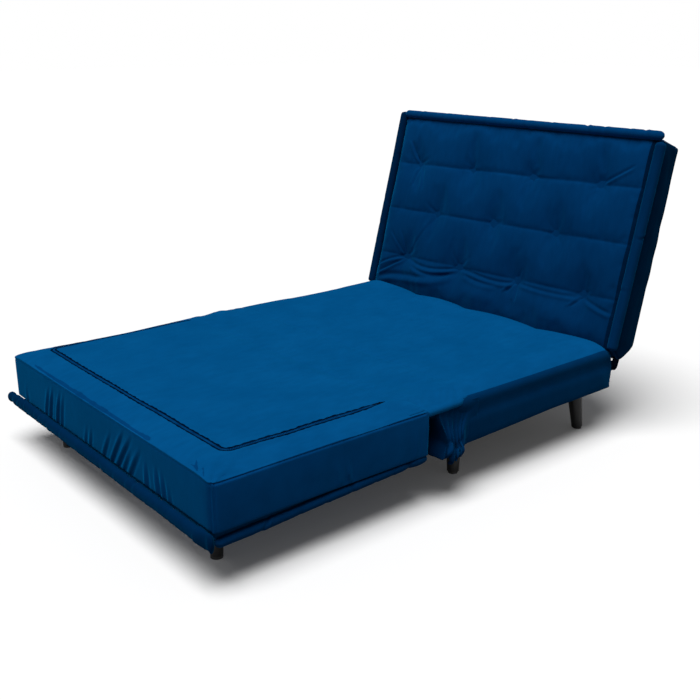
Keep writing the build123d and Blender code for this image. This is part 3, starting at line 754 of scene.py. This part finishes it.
foldRoll = {"radius": 0.0138, "sideX": 0.5005, "frontEnd": 0.1055, "rearEnd": 0.1280, "rearY": 0.604,
            "frontY": -0.0055, "setBack": 0.016, "swell": 0.08, "droop": 0.003, "creaseGap": (0.03, 0.075),
            "creaseDepth": (0.0008, 0.0034)}
seatFace = {"margin": 0.0175, "back": 0.1328, "thickness": 0.004, "border": 0.0162, "borderTop": 0.1518,
            "borderFoot": 0.119, "borderRearFoot": 0.136, "borderThickness": 0.003, "borderRows": 6}


def makeSeatFace():
    margin = seatFace["margin"]
    flat, faces = tuftedGrid(half - margin, margin, body["foldLength"] - margin, False, 23)
    z = np.minimum(seatFace["back"] + flat[:, 1], body["underside"] - 0.001)
    points = joined(flat[:, 0], alongY(flat[:, 2]), z)
    middle = points[faces].mean(axis=1)
    faces = faces[~inFootSlot(middle[:, 0], middle[:, 1])][:, ::-1]
    used, index = np.unique(faces, return_inverse=True)
    piece = makePiece("seatFace", points[used], index.reshape(-1, 4), velvet, "fold_out")
    addThickness(piece, seatFace["thickness"])
    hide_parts("fold_seat_panel")


def makeSeatBorder():  # upright cloth between the seat face, the rolls and the boxed sides
    front, rows = seatFace["border"], seatFace["borderRows"]
    side, rear = half - front, body["foldLength"] - front
    corners = [(-side, rear), (-side, front), (side, front), (side, rear), (-side, rear)]
    x, y = np.concatenate([np.linspace(p, q, 60, endpoint=False) for p, q in zip(corners[:-1], corners[1:])]).T
    besideRoll = np.interp(y, (0.0, body["foldLength"]), (foldRoll["frontEnd"], foldRoll["rearEnd"]))
    foot = np.where(np.abs(x) > side - 1e-6, besideRoll, seatFace["borderFoot"])
    foot = np.where(y > rear - 0.004, seatFace["borderRearFoot"], foot)
    wave = 0.0012 * cloud(joined(x * 14, y * 14, 0), 1.0, 19)
    share = np.linspace(0, 1, rows)[:, None]
    z = seatFace["borderTop"] - share * (seatFace["borderTop"] - foot)
    pull = 1 - (0.004 + wave) * arch(share) / side
    points = joined(x * pull, alongY(y), z).reshape(-1, 3)
    piece = makePiece("seatBorder", points, gridFaces(rows, len(x), wrap=True), velvet, "fold_out")
    addThickness(piece, seatFace["borderThickness"])


makeSeatFace()
makeSeatBorder()
print("seat face tufted")


# padded rolls along the edges
rollMesh = {"ring": 0.0042, "around": 32, "plainEnd": 0.02, "skew": 0.012, "creaseWidth": (0.0035, 0.008)}


def capped(run, reach):
    return np.sqrt(np.clip(dome(run, reach), 0.01, 1))


def makeRoll(name, start, end, up, look, bodyName, node):
    rng = np.random.default_rng(look["seed"])
    start, end, up = np.array(start), np.array(end), np.array(up, float)
    length = np.linalg.norm(end - start)
    ahead = (end - start) / length
    side = np.cross(ahead, up)
    radius, rings, around = look["radius"], round(length / rollMesh["ring"]), rollMesh["around"]
    t, turn = crossed(np.linspace(0, 1, rings), np.linspace(0, 2 * np.pi, around, endpoint=False))
    run = t * length
    swell = cloud(joined(run / 0.11, np.cos(turn) * 0.7, np.sin(turn) * 0.7), 1.0, look["seed"])
    size = radius * (1 + look["swell"] * swell)
    spot = rollMesh["plainEnd"]
    while spot < length - rollMesh["plainEnd"]:
        spot += rng.uniform(*look["creaseGap"])
        skew, facing = rng.uniform(-rollMesh["skew"], rollMesh["skew"]), rng.uniform(0, 2 * np.pi)
        depth, width = rng.uniform(*look["creaseDepth"]), rng.uniform(*rollMesh["creaseWidth"])
        offset = run - spot - skew * np.sin(turn - facing)
        pinch = bump(offset, width) - 0.5 * bump(offset - 2 * width, width)
        size -= depth * pinch * (0.55 + 0.45 * np.cos(turn - facing))
    for place, depth, width in look.get("necks", ()):  # pulled in by stitches, or swollen where negative
        size -= radius * depth * bump(run - place * length, width)
    for place, height in look.get("laps", ()):  # edge of cloth folded over the roll's end
        size += height * smooth(run, place * length - 0.0025, place * length + 0.0005)
    size = size * capped(run, look["caps"][0]) * capped(length - run, look["caps"][1])
    droop = look.get("droop", 0.0) * cloud(joined(run / 0.16, 0, 2.5), 1.0, look["seed"] + 1)
    middle = start + ahead * run[..., None] + up * droop[..., None]
    reach, flatThick, flatTall = look.get("flatEnd", (0.01, 1.0, 1.0))  # the far end may be pressed flat like a flap
    pressed = smooth(run, length - reach, length - 0.2 * reach)
    tall = look.get("tall", 1.0) * (1 + (flatTall - 1) * pressed) * np.cos(turn)
    thick = look.get("thick", 1.0) * (1 + (flatThick - 1) * pressed) * np.sin(turn)
    points = (middle + size[..., None] * (tall[..., None] * up + thick[..., None] * side)).reshape(-1, 3)
    faces = [tuple(f) for f in gridFaces(rings, around, wrap=True)]
    first, last, lastRing = len(points), len(points) + 1, (rings - 1) * around
    points = np.concatenate([points, middle[0, :1], middle[-1, :1]])
    for n in range(around):
        after = (n + 1) % around
        faces += [(first, after, n), (last, lastRing + n, lastRing + after)]
    piece = makePiece(name, points, faces, look["cloth"], bodyName)
    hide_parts(node)


def makeFoldRolls():
    front = alongY(foldRoll["frontY"])
    # painted shade: the side rolls and the front roll take darker velvet copies
    sideLook = dict(foldRoll, cloth=velvetShadedSide, tall=0.82, thick=0.86, caps=(0.016, 0.007),
                    necks=[(0.90, 0.22, 0.008), (0.955, -0.16, 0.016)])
    for name, node, side, lift, seed in (("foldRollRight", "fold_roll_right", 1, 0.0, 31),
                                         ("foldRollLeft", "fold_roll_left", -1, 0.001, 37)):
        x = side * foldRoll["sideX"]
        start = (x, front + foldRoll["setBack"], foldRoll["frontEnd"] + lift)
        end = (x, alongY(foldRoll["rearY"]), foldRoll["rearEnd"])
        makeRoll(name, start, end, (0, 0, 1), dict(sideLook, seed=seed), "fold_out", node)
    frontLook = dict(foldRoll, seed=43, cloth=velvetShadedRoll, tall=1.16, thick=0.88, caps=(0.018, 0.005), droop=0.0015,
                     necks=[(0.030, 0.30, 0.010)], laps=[(0.948, 0.0024)], flatEnd=(0.060, 0.5, 1.12))
    makeRoll("foldRollFront", (-0.541, front - 0.004, 0.1290), (0.5245, front - 0.003, 0.1215), (0, 0, 1), frontLook,
             "fold_out", "fold_roll_front")


makeFoldRolls()
print("fold-out rolls made")


# base section
basePad = {
    "spacing": 0.0105,
    "corner": 0.026,
    "rearCorner": 0.014,
    "sideRidges": ((0.0035, 0.238, 0.014), (-0.0045, 0.206, 0.013)),
    "sideWave": 0.0022,
    "rearTop": 1.310,
    # where the backrest's slack cloth presses the rear edge: places, width, how far
    "pressed": ((-0.237, -0.010, 0.277), 0.062, 0.046),
    # the cover's lower edge along the side
    "hem": ((0.686, 0.770, 0.930, 1.060, 1.345), (0.126, 0.127, 0.131, 0.1355, 0.1355)),
    "puff": {"stiffness": 18.0, "bending": 6.0, "pressure": 2.0, "spareCloth": 0.0, "frames": 12, "cap": 0.003},
}


def baseCrown(x, y):
    rise = body["crown"] + 0.001 - body["seam"]
    front = dome(y - alongY(body["baseFront"]), body["creaseShoulder"])
    top = body["seam"] + rise * dome(half - np.abs(x), body["shoulder"]) * front
    places, width, far = basePad["pressed"]
    edge = basePad["rearTop"] - far * sum(np.exp(-(np.hypot(x - place, 0.008) - 0.008) / width) for place in places)
    fall = np.clip((y - alongY(edge)) / (body["baseRearEdge"] - edge), 0, 1)
    return top - (top - body["baseRearHeight"]) * fall ** 1.8


def makeBasePad():
    front, rear = alongY(body["baseFront"]), alongY(body["baseRearEdge"])
    length = body["baseRearEdge"] - body["baseFront"]
    size = (2 * half, length, body["crown"] - body["baseUnderside"])
    unit, faces = unitShell([round(side / basePad["spacing"]) for side in size])
    u, v, w = unit.T
    x = (2 * u - 1) * half
    y = alongY(body["baseFront"] + v * length)
    hem = np.interp(y - alongY(0), *basePad["hem"])
    inside = smooth(np.minimum(half - np.abs(x), y - front), 0.010, 0.030)
    low = hem + (body["baseUnderside"] + 0.0006 - hem) * inside
    z = low + w * (baseCrown(x, y) - low)
    tuck = (body["baseRearEdge"] - body["baseRearFoot"]) * (1 - w) * v ** 6
    x, y = roundPlan(x, y, front, rear, np.where(v < 0.5, basePad["corner"], basePad["rearCorner"]))
    bottom = w == 0
    points = relaxed(joined(x, y - tuck, z), faces, 6, bottom)
    points, faces, normal = puffedOut(points, faces, bottom, basePad["puff"])
    x, y, z = points.T
    shift = smooth(normal[:, 2], 0.6, 0.95) * waved(points, topWaves)
    onSide = smooth(np.abs(normal[:, 0]), 0.4, 0.85)
    shift += onSide * ridges(z, basePad["sideRidges"])
    slanted = cloud(joined((y + 0.8 * z) * 11, 0, z * 3), 1.0, 53)
    shift += basePad["sideWave"] * slanted * onSide * smooth(0.21 - y + front, 0.0, 0.2)
    shift[smooth(-normal[:, 2], 0.6, 0.9) > 0] = 0
    points = points + normal * shift[:, None]
    middle = points[faces].mean(axis=1)
    seamHeight = baseCrown(np.full(len(middle), half), np.maximum(middle[:, 1], alongY(body["baseFront"] + 0.05)))
    facing = unitLong(faceCrosses(points, faces))
    # painted shade: the boxed sides take a darker velvet copy
    boxed = (np.abs(facing[:, 0]) > 0.3) & (middle[:, 2] < seamHeight + 0.001)
    pad = makePiece("basePad", points, faces, velvet, "base", shadeCopies=[(velvetShadedSide, boxed)])
    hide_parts("base_cover", "base_foam")
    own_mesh(pad)
    return heightsOn(points, faces)


baseTop = makeBasePad()
print("base pad made")


dustSheet = {"sag": 0.004, "wave": 0.0008, "below": 0.0006, "spacing": 0.02, "thickness": 0.0008, "inset": 0.018}


def makeDustSheet():
    low, high = (np.array(v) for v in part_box("base_dust_cover"))
    low[:2] += dustSheet["inset"]
    high[:2] -= dustSheet["inset"]
    columns, rows = (round(size / dustSheet["spacing"]) for size in (high - low)[:2])
    u, v = crossed(np.linspace(0, 1, rows), np.linspace(0, 1, columns))
    x = low[0] + v * (high[0] - low[0])
    y = low[1] + u * (high[1] - low[1])
    wave = dustSheet["wave"] * cloud(joined(x, y, 0), (0.09, 0.06, 1), 61)
    z = low[2] - dustSheet["below"] - (dustSheet["sag"] + wave) * arch(u) * arch(v)
    points = joined(x, y, z).reshape(-1, 3)
    faces = gridFaces(rows, columns)[:, ::-1]
    piece = makePiece("dustSheet", points, faces, grained["nonWovenCloth"], "base")
    addThickness(piece, dustSheet["thickness"])
    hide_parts("base_dust_cover")


makeDustSheet()


# crease cloth between the fold-out and the base
crease = {"front": 0.545, "middle": 0.641, "rear": 0.738, "gapFront": 0.603, "gapRear": 0.706, "spacing": 0.0038,
          "thickness": 0.002, "edgeSink": 0.0009, "edgeRise": 0.0006, "dipRight": 0.0035, "dipMiddle": 0.0012,
          "liftLeft": 0.004, "wrinkle": 0.0011, "overLink": 0.0014, "sideFall": 0.0050, "sideReach": 0.009,
          "gapEase": (0.010, 0.030), "narrow": 0.006, "edgeReach": 0.014, "rightReach": (0.30, 0.47),
          "leftReach": (0.36, 0.49), "dipAhead": 0.004, "dipWidth": 0.030, "overPad": 0.0005,
          # how the edge turns under: out, down
          "lap": ((0.0012, 0.0018, 0.0004, -0.0050), (0.0030, 0.0070, 0.0110, 0.0150))}


def makeCreaseHalf(name, front, rear, nodes):
    rows = round((rear - front) / crease["spacing"]) + 1
    y = np.linspace(front, rear, rows)[:, None]
    easeIn, easeOut = crease["gapEase"]
    inGap = smooth(y, crease["gapFront"] - easeIn, crease["gapFront"])
    inGap = inGap * (1 - smooth(y, crease["gapRear"], crease["gapRear"] + easeOut))
    u = np.linspace(-1, 1, round(2 * half / crease["spacing"]))[None, :]
    x = u * (half - crease["narrow"] + crease["narrow"] * inGap)
    edge = crease["sideReach"]
    seen = np.clip(half * u[0], -half + edge, half - edge)
    fall = crease["sideFall"] * np.clip((np.abs(half * u) - half + edge) / edge, 0, 1) ** 1.6
    zFront = foldTop(seen, np.full_like(seen, alongY(crease["front"] - 0.002)))
    zRear = baseTop(seen, np.full_like(seen, alongY(crease["rear"] + 0.002)))
    length = crease["rear"] - crease["front"]
    t = (y - crease["front"]) / length
    z = zFront + (zRear - zFront) * t - fall
    toEnd = np.minimum(t, 1 - t) * length
    z = z - crease["edgeSink"] + (crease["edgeSink"] + crease["edgeRise"]) * smooth(toEnd, 0, crease["edgeReach"])
    y = y + 0 * x
    atRight, atLeft = smooth(x, *crease["rightReach"]), smooth(-x, *crease["leftReach"])
    dip = crease["dipMiddle"] + (crease["dipRight"] - crease["dipMiddle"]) * atRight
    dip = dip - (crease["liftLeft"] + crease["dipMiddle"]) * atLeft
    z = z - dip * bump(y - crease["middle"] + crease["dipAhead"], crease["dipWidth"])
    fine = cloud(joined((x + 0.9 * y) / 0.011, (x - 0.6 * y) / 0.06, 0), 1.0, 72)
    fine = fine + 0.6 * cloud(joined(x, y, 0), (0.016, 0.05, 1), 71)
    loose = smooth(toEnd, 0.006, 0.04)
    z = z + crease["wrinkle"] * fine * loose * (0.25 + 0.75 * np.maximum(atRight, atLeft))
    z = np.maximum(z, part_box("fold_links")[1][2] + crease["overLink"] - fall)  # the cloth lies on the steel links
    # over the pads the sides of the strip lie down on them
    below = np.where(y < crease["middle"], foldTop(x, alongY(np.minimum(y, foldPad["length"] - 0.002))),
                     baseTop(x, alongY(np.maximum(y, body["baseFront"] + 0.002))))
    down = smooth(np.abs(x), half - 0.030, half - 0.010) * (1 - inGap)
    z = z + (below + crease["overPad"] - z) * down
    out, drop = (np.array(v) for v in crease["lap"])
    order = np.arange(1, len(out) + 1)
    lapOut = inGap * out - (1 - inGap) * 0.0004 * order
    lapDown = inGap * drop + (1 - inGap) * 0.0008 * order
    x = np.concatenate([x[:, :1] - lapOut[:, ::-1], x, x[:, -1:] + lapOut], 1)
    z = np.concatenate([z[:, :1] - lapDown[:, ::-1], z, z[:, -1:] - lapDown], 1)
    points = joined(x, alongY(y[:, :1]), z).reshape(-1, 3)
    piece = makePiece(name, points, gridFaces(rows, x.shape[1]), velvet, None)
    addThickness(piece, crease["thickness"], rim=False)
    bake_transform(piece)
    if nodes:
        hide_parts(*nodes)


# gathered cloth at each end of the crease; places along the sofa bed are given at the top, the pinch and the foot
gusset = {"rows": 80, "columns": 160, "recessFront": 0.598, "recessShare": 0.16, "recessDeep": 0.050,
          "recessFoot": 0.140, "top": 0.2440, "pinchAt": 0.68, "frontEdge": (0.628, 0.646, 0.624),
          "rearEdge": (0.772, 0.766, 0.735), "drawn": (0.646, 0.704), "flare": (0.626, 0.702), "drawnShare": 0.80,
          "folds": 5.0, "thickness": 0.0018, "swing": (0.0004, 0.0058), "sunk": 0.002, "rearStand": 0.003,
          "hollow": 0.0032, "stand": 0.008, "lump": 0.005, "footSwell": 0.010, "wander": 0.004, "recessLeast": 0.003,
          "recessWave": 0.006, "foot": ((0.0, 0.12, 0.28, 0.42, 0.56, 0.70, 0.82, 1.0),
                                        (0.124, 0.118, 0.130, 0.099, 0.106, 0.115, 0.126, 0.129))}


def between(low, high, share):
    return low + (high - low) * share


def betweenLevels(values, t, pinch):
    return np.where(t < pinch, between(values[0], values[1], smooth(t, 0.05, pinch)),
                    between(values[1], values[2], smooth(t, pinch, 1.0)))


def makeGusset(name, sign, seed):
    g = gusset
    share, pinch, part = g["recessShare"], g["pinchAt"], g["drawnShare"]
    t, a = crossed(np.linspace(0, 1, g["rows"]), np.linspace(0, 1, g["columns"]))
    r = np.clip(a / share, 0, 1)  # across the hollow behind the fold-out's corner
    b = np.clip((a - share) / (1 - share), 0, 1)  # across the gathered part
    frontEdge = betweenLevels(g["frontEdge"], t, pinch)
    rearEdge = betweenLevels(g["rearEdge"], t, pinch)
    spread = between(frontEdge, rearEdge, b)
    drawnLow, drawnHigh = (between(g["drawn"][n], g["flare"][n], smooth(t, pinch, 1.0)) for n in range(2))
    drawn = np.where(b < part, drawnLow + b / part * (drawnHigh - drawnLow),
                     drawnHigh + (b - part) / (1 - part) * (rearEdge - drawnHigh))
    yGather = between(spread, drawn, smooth(t, 0.06, pinch) ** 1.1)
    y = np.where(a < share, between(g["recessFront"], frontEdge, r), yGather)
    uneven = cloud(joined(a * 7, t * 1.5, 0), 1.0, seed)
    small = cloud(joined(a * 24, t * 6, 0), 1.0, seed + 1)
    phase = 2 * np.pi * g["folds"] * np.clip(b / part, 0, 1.1) + 1.6 * uneven
    settle = smooth(b, 0, 0.05) * smooth(1 - b, 0.04, 0.26)
    swing = g["swing"][0] + g["swing"][1] * smooth(t, 0.22, pinch)
    lumps = smooth(t, pinch - 0.03, pinch + 0.16)
    out = -g["sunk"] + g["rearStand"] * smooth(b, part - 0.1, 1) + swing * (1 + np.sin(phase)) * settle
    out = out - g["hollow"] * bump(t - 0.16, 0.15) * arch(np.clip(b / 0.9, 0, 1)) ** 0.7  # under the crease strip
    out = out + g["stand"] * smooth(t, 0.35, pinch) * settle
    out = out + lumps * (g["lump"] * small + g["footSwell"] * bump(t - 0.88, 0.12)) * settle
    # the hollow is shallow where the hinge link is
    inward = g["recessLeast"] + g["recessDeep"] * arch(r) ** 0.7 * smooth(t, 0.14, 0.28)
    inward = inward + g["recessWave"] * uneven * smooth(t, 0.3, 0.6) * arch(r)
    x = sign * (half + np.where(a < share, -inward - g["sunk"], out))
    foot = np.where(a < share, between(g["recessFoot"], g["foot"][1][0], smooth(r, 0.6, 1.0)), np.interp(b, *g["foot"]))
    z = g["top"] - t * (g["top"] - foot) + g["wander"] * lumps * small * settle
    y = alongY(y) + g["wander"] * lumps * np.cos(phase * 1.7) * settle
    points = joined(x, y, z).reshape(-1, 3)
    faces = gridFaces(g["rows"], g["columns"])
    # painted shade: the hollow behind the fold-out's corner takes the darkest velvet copy, the gathered part a darker
    # one
    shadedRecess = a.ravel()[faces].mean(axis=1) < share + 0.05
    piece = makePiece(name, points, faces if sign < 0 else faces[:, ::-1], velvetShadedSide, "base",
                      shadeCopies=[(velvetShadedDeep, shadedRecess)])
    addThickness(piece, g["thickness"])
    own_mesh(piece)
    return piece


makeCreaseHalf("creaseFront", crease["front"], crease["middle"], None)
makeCreaseHalf("creaseRear", crease["middle"], crease["rear"], ["crease_strip"])
rightGusset = makeGusset("gussetRight", 1, 81)
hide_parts("crease_gussets")
makeGusset("gussetLeft", -1, 87)
print("crease cloth made")


# backrest, made upright as (across, behind the face, up the face) and then leaned back
backrest = {
    "lean": math.radians(14.5), "footY": 1.307, "footZ": 0.252, "height": 0.594, "front": 0.020, "depthFoot": 0.120,
    "depthTop": 0.106, "topFall": 0.006, "keel": 0.034, "keelDepth": 0.061, "spacing": 0.0105,
    "puff": {"stiffness": 16.0, "bending": 5.0, "pressure": 2.5, "spareCloth": 0.0, "frames": 12, "cap": 0.0015},
    "seamDepth": 0.0028, "seamWidth": 0.0036, "panelHalf": 0.4985, "panelFoot": -0.004, "panelTop": 0.587,
    "panelThickness": 0.006, "tuftShift": (0.0, -0.022, -0.028), "tuftTilt": 0.022, "rollShadeX": 0.4855,
    "slackTop": 0.040, "slackLift": 0.30, "footRise": 0.010, "rearBelly": 0.005, "sideBelly": 0.0015, "seamIn": 0.010,
    "sideWave": 0.0015, "topWave": 0.0014,
    "rearWaves": ((0.0020, (0.16, 1, 0.14), 93), (0.0006, (0.05, 1, 0.04), 94)),
}
leanBack = Matrix.Translation((0, alongY(backrest["footY"]), backrest["footZ"]))
leanBack = leanBack @ Matrix.Rotation(-backrest["lean"], 4, "X")
leanTurn = np.array(leanBack.to_3x3())
leanPlace = np.array(leanBack.translation)


def leaned(points):
    return points @ leanTurn.T + leanPlace


def makeBackPad():
    front, height, spacing = backrest["front"], backrest["height"], backrest["spacing"]
    keel, deepFoot = backrest["keelDepth"], backrest["depthFoot"]
    thinning = deepFoot - backrest["depthTop"]
    unit, faces = unitShell([round(size / spacing) for size in (2 * half, 0.1, height)])
    u, v, w = unit.T
    n = front + v * (deepFoot - front)
    toKeel = np.where(n < keel, (n - front) / (keel - front), (deepFoot - n) / (deepFoot - keel))
    foot = -backrest["keel"] * np.clip(toKeel, 0, 1) + backrest["footRise"] * smooth(n, keel, deepFoot)
    s = foot + w * (height - backrest["topFall"] * v - foot)
    n = n - v * thinning * np.clip(s / height, 0, 1)
    n = n + backrest["rearBelly"] * arch(w) * (v > 0.999)
    x = (2 * u - 1) * half
    x = x + np.sign(x) * backrest["sideBelly"] * arch(v) * (np.abs(u - 0.5) > 0.499)
    frontEdge = v == 0
    flat = relaxed(joined(x, n, s), faces, 2, frontEdge)
    flat, faces, normal = puffedOut(flat, faces, frontEdge, backrest["puff"])
    x, n, s = flat.T
    onSide, onTop = smooth(np.abs(normal[:, 0]), 0.5, 0.9), smooth(normal[:, 2], 0.5, 0.9)
    onRear = smooth(normal[:, 1], 0.6, 0.95)
    rearEdge = deepFoot - thinning * np.clip(s / height, 0, 1)
    atSeam = bump(n - rearEdge + backrest["seamIn"], backrest["seamWidth"])
    shift = -backrest["seamDepth"] * atSeam * (onSide + onTop)
    shift += backrest["sideWave"] * onSide * cloud(joined(n * 9, s * 22, 0), 1.0, 91)
    shift += backrest["topWave"] * onTop * cloud(flat, (0.06, 0.05, 1), 92)
    shift += onRear * waved(flat, backrest["rearWaves"])
    shift[smooth(-normal[:, 1], 0.5, 0.8) > 0] = 0
    flat = flat + normal * shift[:, None]
    # painted shade: the back pad takes a darker velvet copy shaded by height, and its boxed sides the darkest one
    boxed = np.abs(unitLong(faceCrosses(flat, faces))[:, 0]) > 0.55
    pad = makePiece("backPad", leaned(flat), faces, velvetShadedBack, "backrest", shadeCopies=[(velvetShadedDeep, boxed)])
    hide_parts("back_cover", "back_foam")


# folds in the face as points (across, up), then width and depth; cloth is slack below the lowest row
faceFolds = [
    ([(-0.372, 0.118), (-0.280, 0.097), (-0.205, 0.101), (-0.124, 0.121)], 0.0054, 0.0056),
    ([(-0.360, 0.106), (-0.316, 0.088), (-0.245, 0.077), (-0.171, 0.089), (-0.135, 0.104)], 0.0062, 0.0042),
    ([(-0.124, 0.120), (-0.008, 0.111), (0.083, 0.111), (0.124, 0.120)], 0.0050, 0.0048),
    ([(-0.100, 0.110), (-0.020, 0.095), (0.060, 0.097)], 0.0062, 0.0030),
    ([(0.124, 0.121), (0.250, 0.115), (0.372, 0.122)], 0.0044, 0.0028),
    ([(-0.490, 0.025), (-0.393, 0.049), (-0.263, 0.064), (-0.160, 0.084), (-0.124, 0.106)], 0.0090, 0.0064),
    ([(-0.493, 0.070), (-0.427, 0.104), (-0.376, 0.118)], 0.0050, 0.0046),
    ([(-0.486, 0.045), (-0.429, 0.078), (-0.379, 0.112)], 0.0052, 0.0048),
    ([(0.124, 0.124), (0.112, 0.108), (0.094, 0.082)], 0.0046, 0.0042),
    ([(0.126, 0.122), (0.130, 0.100), (0.138, 0.062)], 0.0048, 0.0036),
    ([(0.370, 0.124), (0.358, 0.106), (0.343, 0.088)], 0.0046, 0.0038),
    ([(0.380, 0.122), (0.430, 0.108), (0.487, 0.097)], 0.0050, 0.0038),
    ([(-0.395, 0.437), (-0.422, 0.470), (-0.441, 0.508)], 0.0050, 0.0034),
    ([(-0.394, 0.424), (-0.402, 0.390), (-0.403, 0.358)], 0.0044, 0.0032),
    ([(-0.378, 0.423), (-0.362, 0.387), (-0.355, 0.350)], 0.0044, 0.0028),
    ([(0.349, 0.456), (0.402, 0.482), (0.455, 0.513)], 0.0042, 0.0028),
    ([(-0.276, 0.268), (-0.307, 0.211), (-0.356, 0.133)], 0.0056, 0.0011),
    ([(-0.384, 0.124), (-0.428, 0.166), (-0.463, 0.199)], 0.0052, 0.0017),
    ([(-0.377, 0.128), (-0.393, 0.171), (-0.407, 0.200)], 0.0050, 0.0016),
]
lowerBulges = [(0.017, -0.237, 0.070), (0.017, -0.010, 0.080), (0.017, 0.277, 0.075)]


def hangOver(x):  # how far the slack lower cloth comes forward over the base
    return ridges(x, lowerBulges)


def foldAlong(x, s, line, width, depth):
    across, up = np.array(line).T
    lying = np.ptp(across) >= np.ptp(up)
    p, q = (across, up) if lying else (up, across)
    a, b = (x, s) if lying else (s, x)
    curve = np.polyval(np.polyfit(p, q, min(3, len(p) - 1)), np.clip(a, p.min() - 0.01, p.max() + 0.01))
    t = (a - p.min()) / np.ptp(p)
    ends = smooth(t, -0.04, 0.16) * (1 - smooth(t, 0.84, 1.06))
    off = b - curve
    return depth * ends * (bump(off, width) - 0.75 * bump(off + 2.0 * width, 1.2 * width))


def slackFolds(x, s):
    depth = sum(foldAlong(x, s, *fold) for fold in faceFolds)
    depth += smooth(0.105 - s, 0, 0.06) * 0.003 * cloud(joined(x, s, 0), (0.19, 0.045, 1), 97)
    resting = 1 - smooth(s, 0.034, 0.115)
    return depth - hangOver(x) * resting


def makeBackPanel():
    foot = backrest["panelFoot"]
    flat, faces = tuftedGrid(backrest["panelHalf"], foot, backrest["panelTop"], True, 29, slackFolds,
                             backrest["tuftShift"], backrest["tuftTilt"])
    rollShadeFaces = flat[faces].mean(axis=1)[:, 0] > backrest["rollShadeX"]  # painted shade: faces beside the right roll take the darkest velvet copy for the shadow gap there
    # the lower edge is drawn up where the slack cloth hangs over
    nearFoot = 1 - smooth(flat[:, 2], foot, backrest["slackTop"])
    flat[:, 2] += nearFoot * backrest["slackLift"] * hangOver(flat[:, 0])
    # painted shade: the panel takes the darker back copy, shaded by height
    piece = makePiece("backPanel", leaned(flat), faces, velvetShadedBack, "backrest",
                      shadeCopies=[(velvetShadedDeep, rollShadeFaces)])
    addThickness(piece, backrest["panelThickness"])
    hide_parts("back_panel")


backRoll = {"radius": 0.0145, "caps": (0.010, 0.010), "swell": 0.06, "creaseGap": (0.06, 0.16),
            "creaseDepth": (0.0006, 0.0022)}
backRollPlace = {"side": 0.5135, "behind": 0.007, "up": 0.5985, "topLift": 0.0017}


def makeBackRolls():
    x, n, up, lift = backRollPlace.values()
    rise = leanTurn @ np.array([0, 0, 1.0])
    ahead = leanTurn @ np.array([0, -1.0, 0])
    # painted shade: the rolls take darker velvet copies, the top one the back copy shaded by height
    topLook = dict(backRoll, seed=113, cloth=velvetShadedBack, creaseGap=(0.05, 0.12), creaseDepth=(0.0008, 0.0030),
                   caps=(0.014, 0.018), tall=0.88, thick=0.74)
    for name, node, start, end, facing, look in (
            ("backRollRight", "back_roll_right", (x, n, -0.002), (x, n, up - 0.014), ahead,
             dict(backRoll, seed=101, cloth=velvetShadedSide)),
            ("backRollLeft", "back_roll_left", (-x, n, -0.002), (-x, n, up + 0.008), ahead,
             dict(backRoll, seed=107, cloth=velvetShadedRoll)),
            ("backRollTop", "back_roll_top", (-x + 0.006, n, up + lift), (x + 0.004, n, up + lift), rise, topLook)):
        makeRoll(name, *leaned(np.array([start, end])), facing, look, "backrest", node)


makeBackPad()
makeBackPanel()
makeBackRolls()
print("backrest made")


# floor, light and camera
studio = {"floorSeen": 0.94, "floorLift": 0.032, "floorBounce": 0.20, "floorSize": 30.0, "sky": 0.12,
          "sunStrength": 3.05, "sunAngle": 42.0, "sunTurn": (16.0, 0.0, 19.3)}
photoView = {"sensor": 36.0, "lens": 48.78, "place": (1.9912, -1.6357, 1.0892), "turn": (71.6825, 0.0, 50.2911)}


def seenDirectly(tree):
    path = addNode(tree, "LightPath", {})
    seen = addMath(tree, "MAXIMUM", path["Is Camera Ray"], path["Is Glossy Ray"])
    return addMath(tree, "MAXIMUM", seen, path["Is Transmission Ray"])


def placeObject(name, data, degrees=(0.0, 0.0, 0.0)):
    obj = bpy.data.objects.new(name, data)
    obj.rotation_euler = [math.radians(v) for v in degrees]
    scene.collection.objects.link(obj)
    return obj


def makeStudio():
    size = studio["floorSize"]
    mesh = bpy.data.meshes.new("floor")
    mesh.from_pydata([(-size, -size, 0), (size, -size, 0), (size, size, 0), (-size, size, 0)], [], [(0, 1, 2, 3)])
    floor = placeObject("floor", mesh)
    paper, tree, surface = startMaterial("paleFloor", {
        "Roughness": 0.95, "Specular IOR Level": 0.0, "Emission Strength": 1.0})
    seen = seenDirectly(tree)
    tree.links.new(addRange(tree, seen, 0.0, 1.0, studio["floorBounce"], studio["floorSeen"]), surface["Base Color"])
    tree.links.new(addRange(tree, seen, 0.0, 1.0, 0.0, studio["floorLift"]), surface["Emission Color"])
    mesh.materials.append(paper)
    world = bpy.data.worlds.new("studio")
    scene.world = world
    world.use_nodes = True
    tree = world.node_tree
    background = tree.nodes["Background"].inputs
    background["Color"].default_value = (1, 1, 1, 1)
    tree.links.new(addRange(tree, seenDirectly(tree), 0.0, 1.0, studio["sky"], 1.0), background["Strength"])
    sun = bpy.data.lights.new("softKey", "SUN")
    sun.energy = studio["sunStrength"]
    sun.angle = math.radians(studio["sunAngle"])
    placeObject("softKey", sun, studio["sunTurn"])


def makeCamera():
    data = bpy.data.cameras.new("photoView")
    data.sensor_width = photoView["sensor"]
    data.lens = photoView["lens"]
    scene.camera = placeObject("photoView", data, photoView["turn"])
    scene.camera.location = photoView["place"]


makeStudio()
makeCamera()
scene.view_settings.view_transform = "Standard"
print("scene ready")
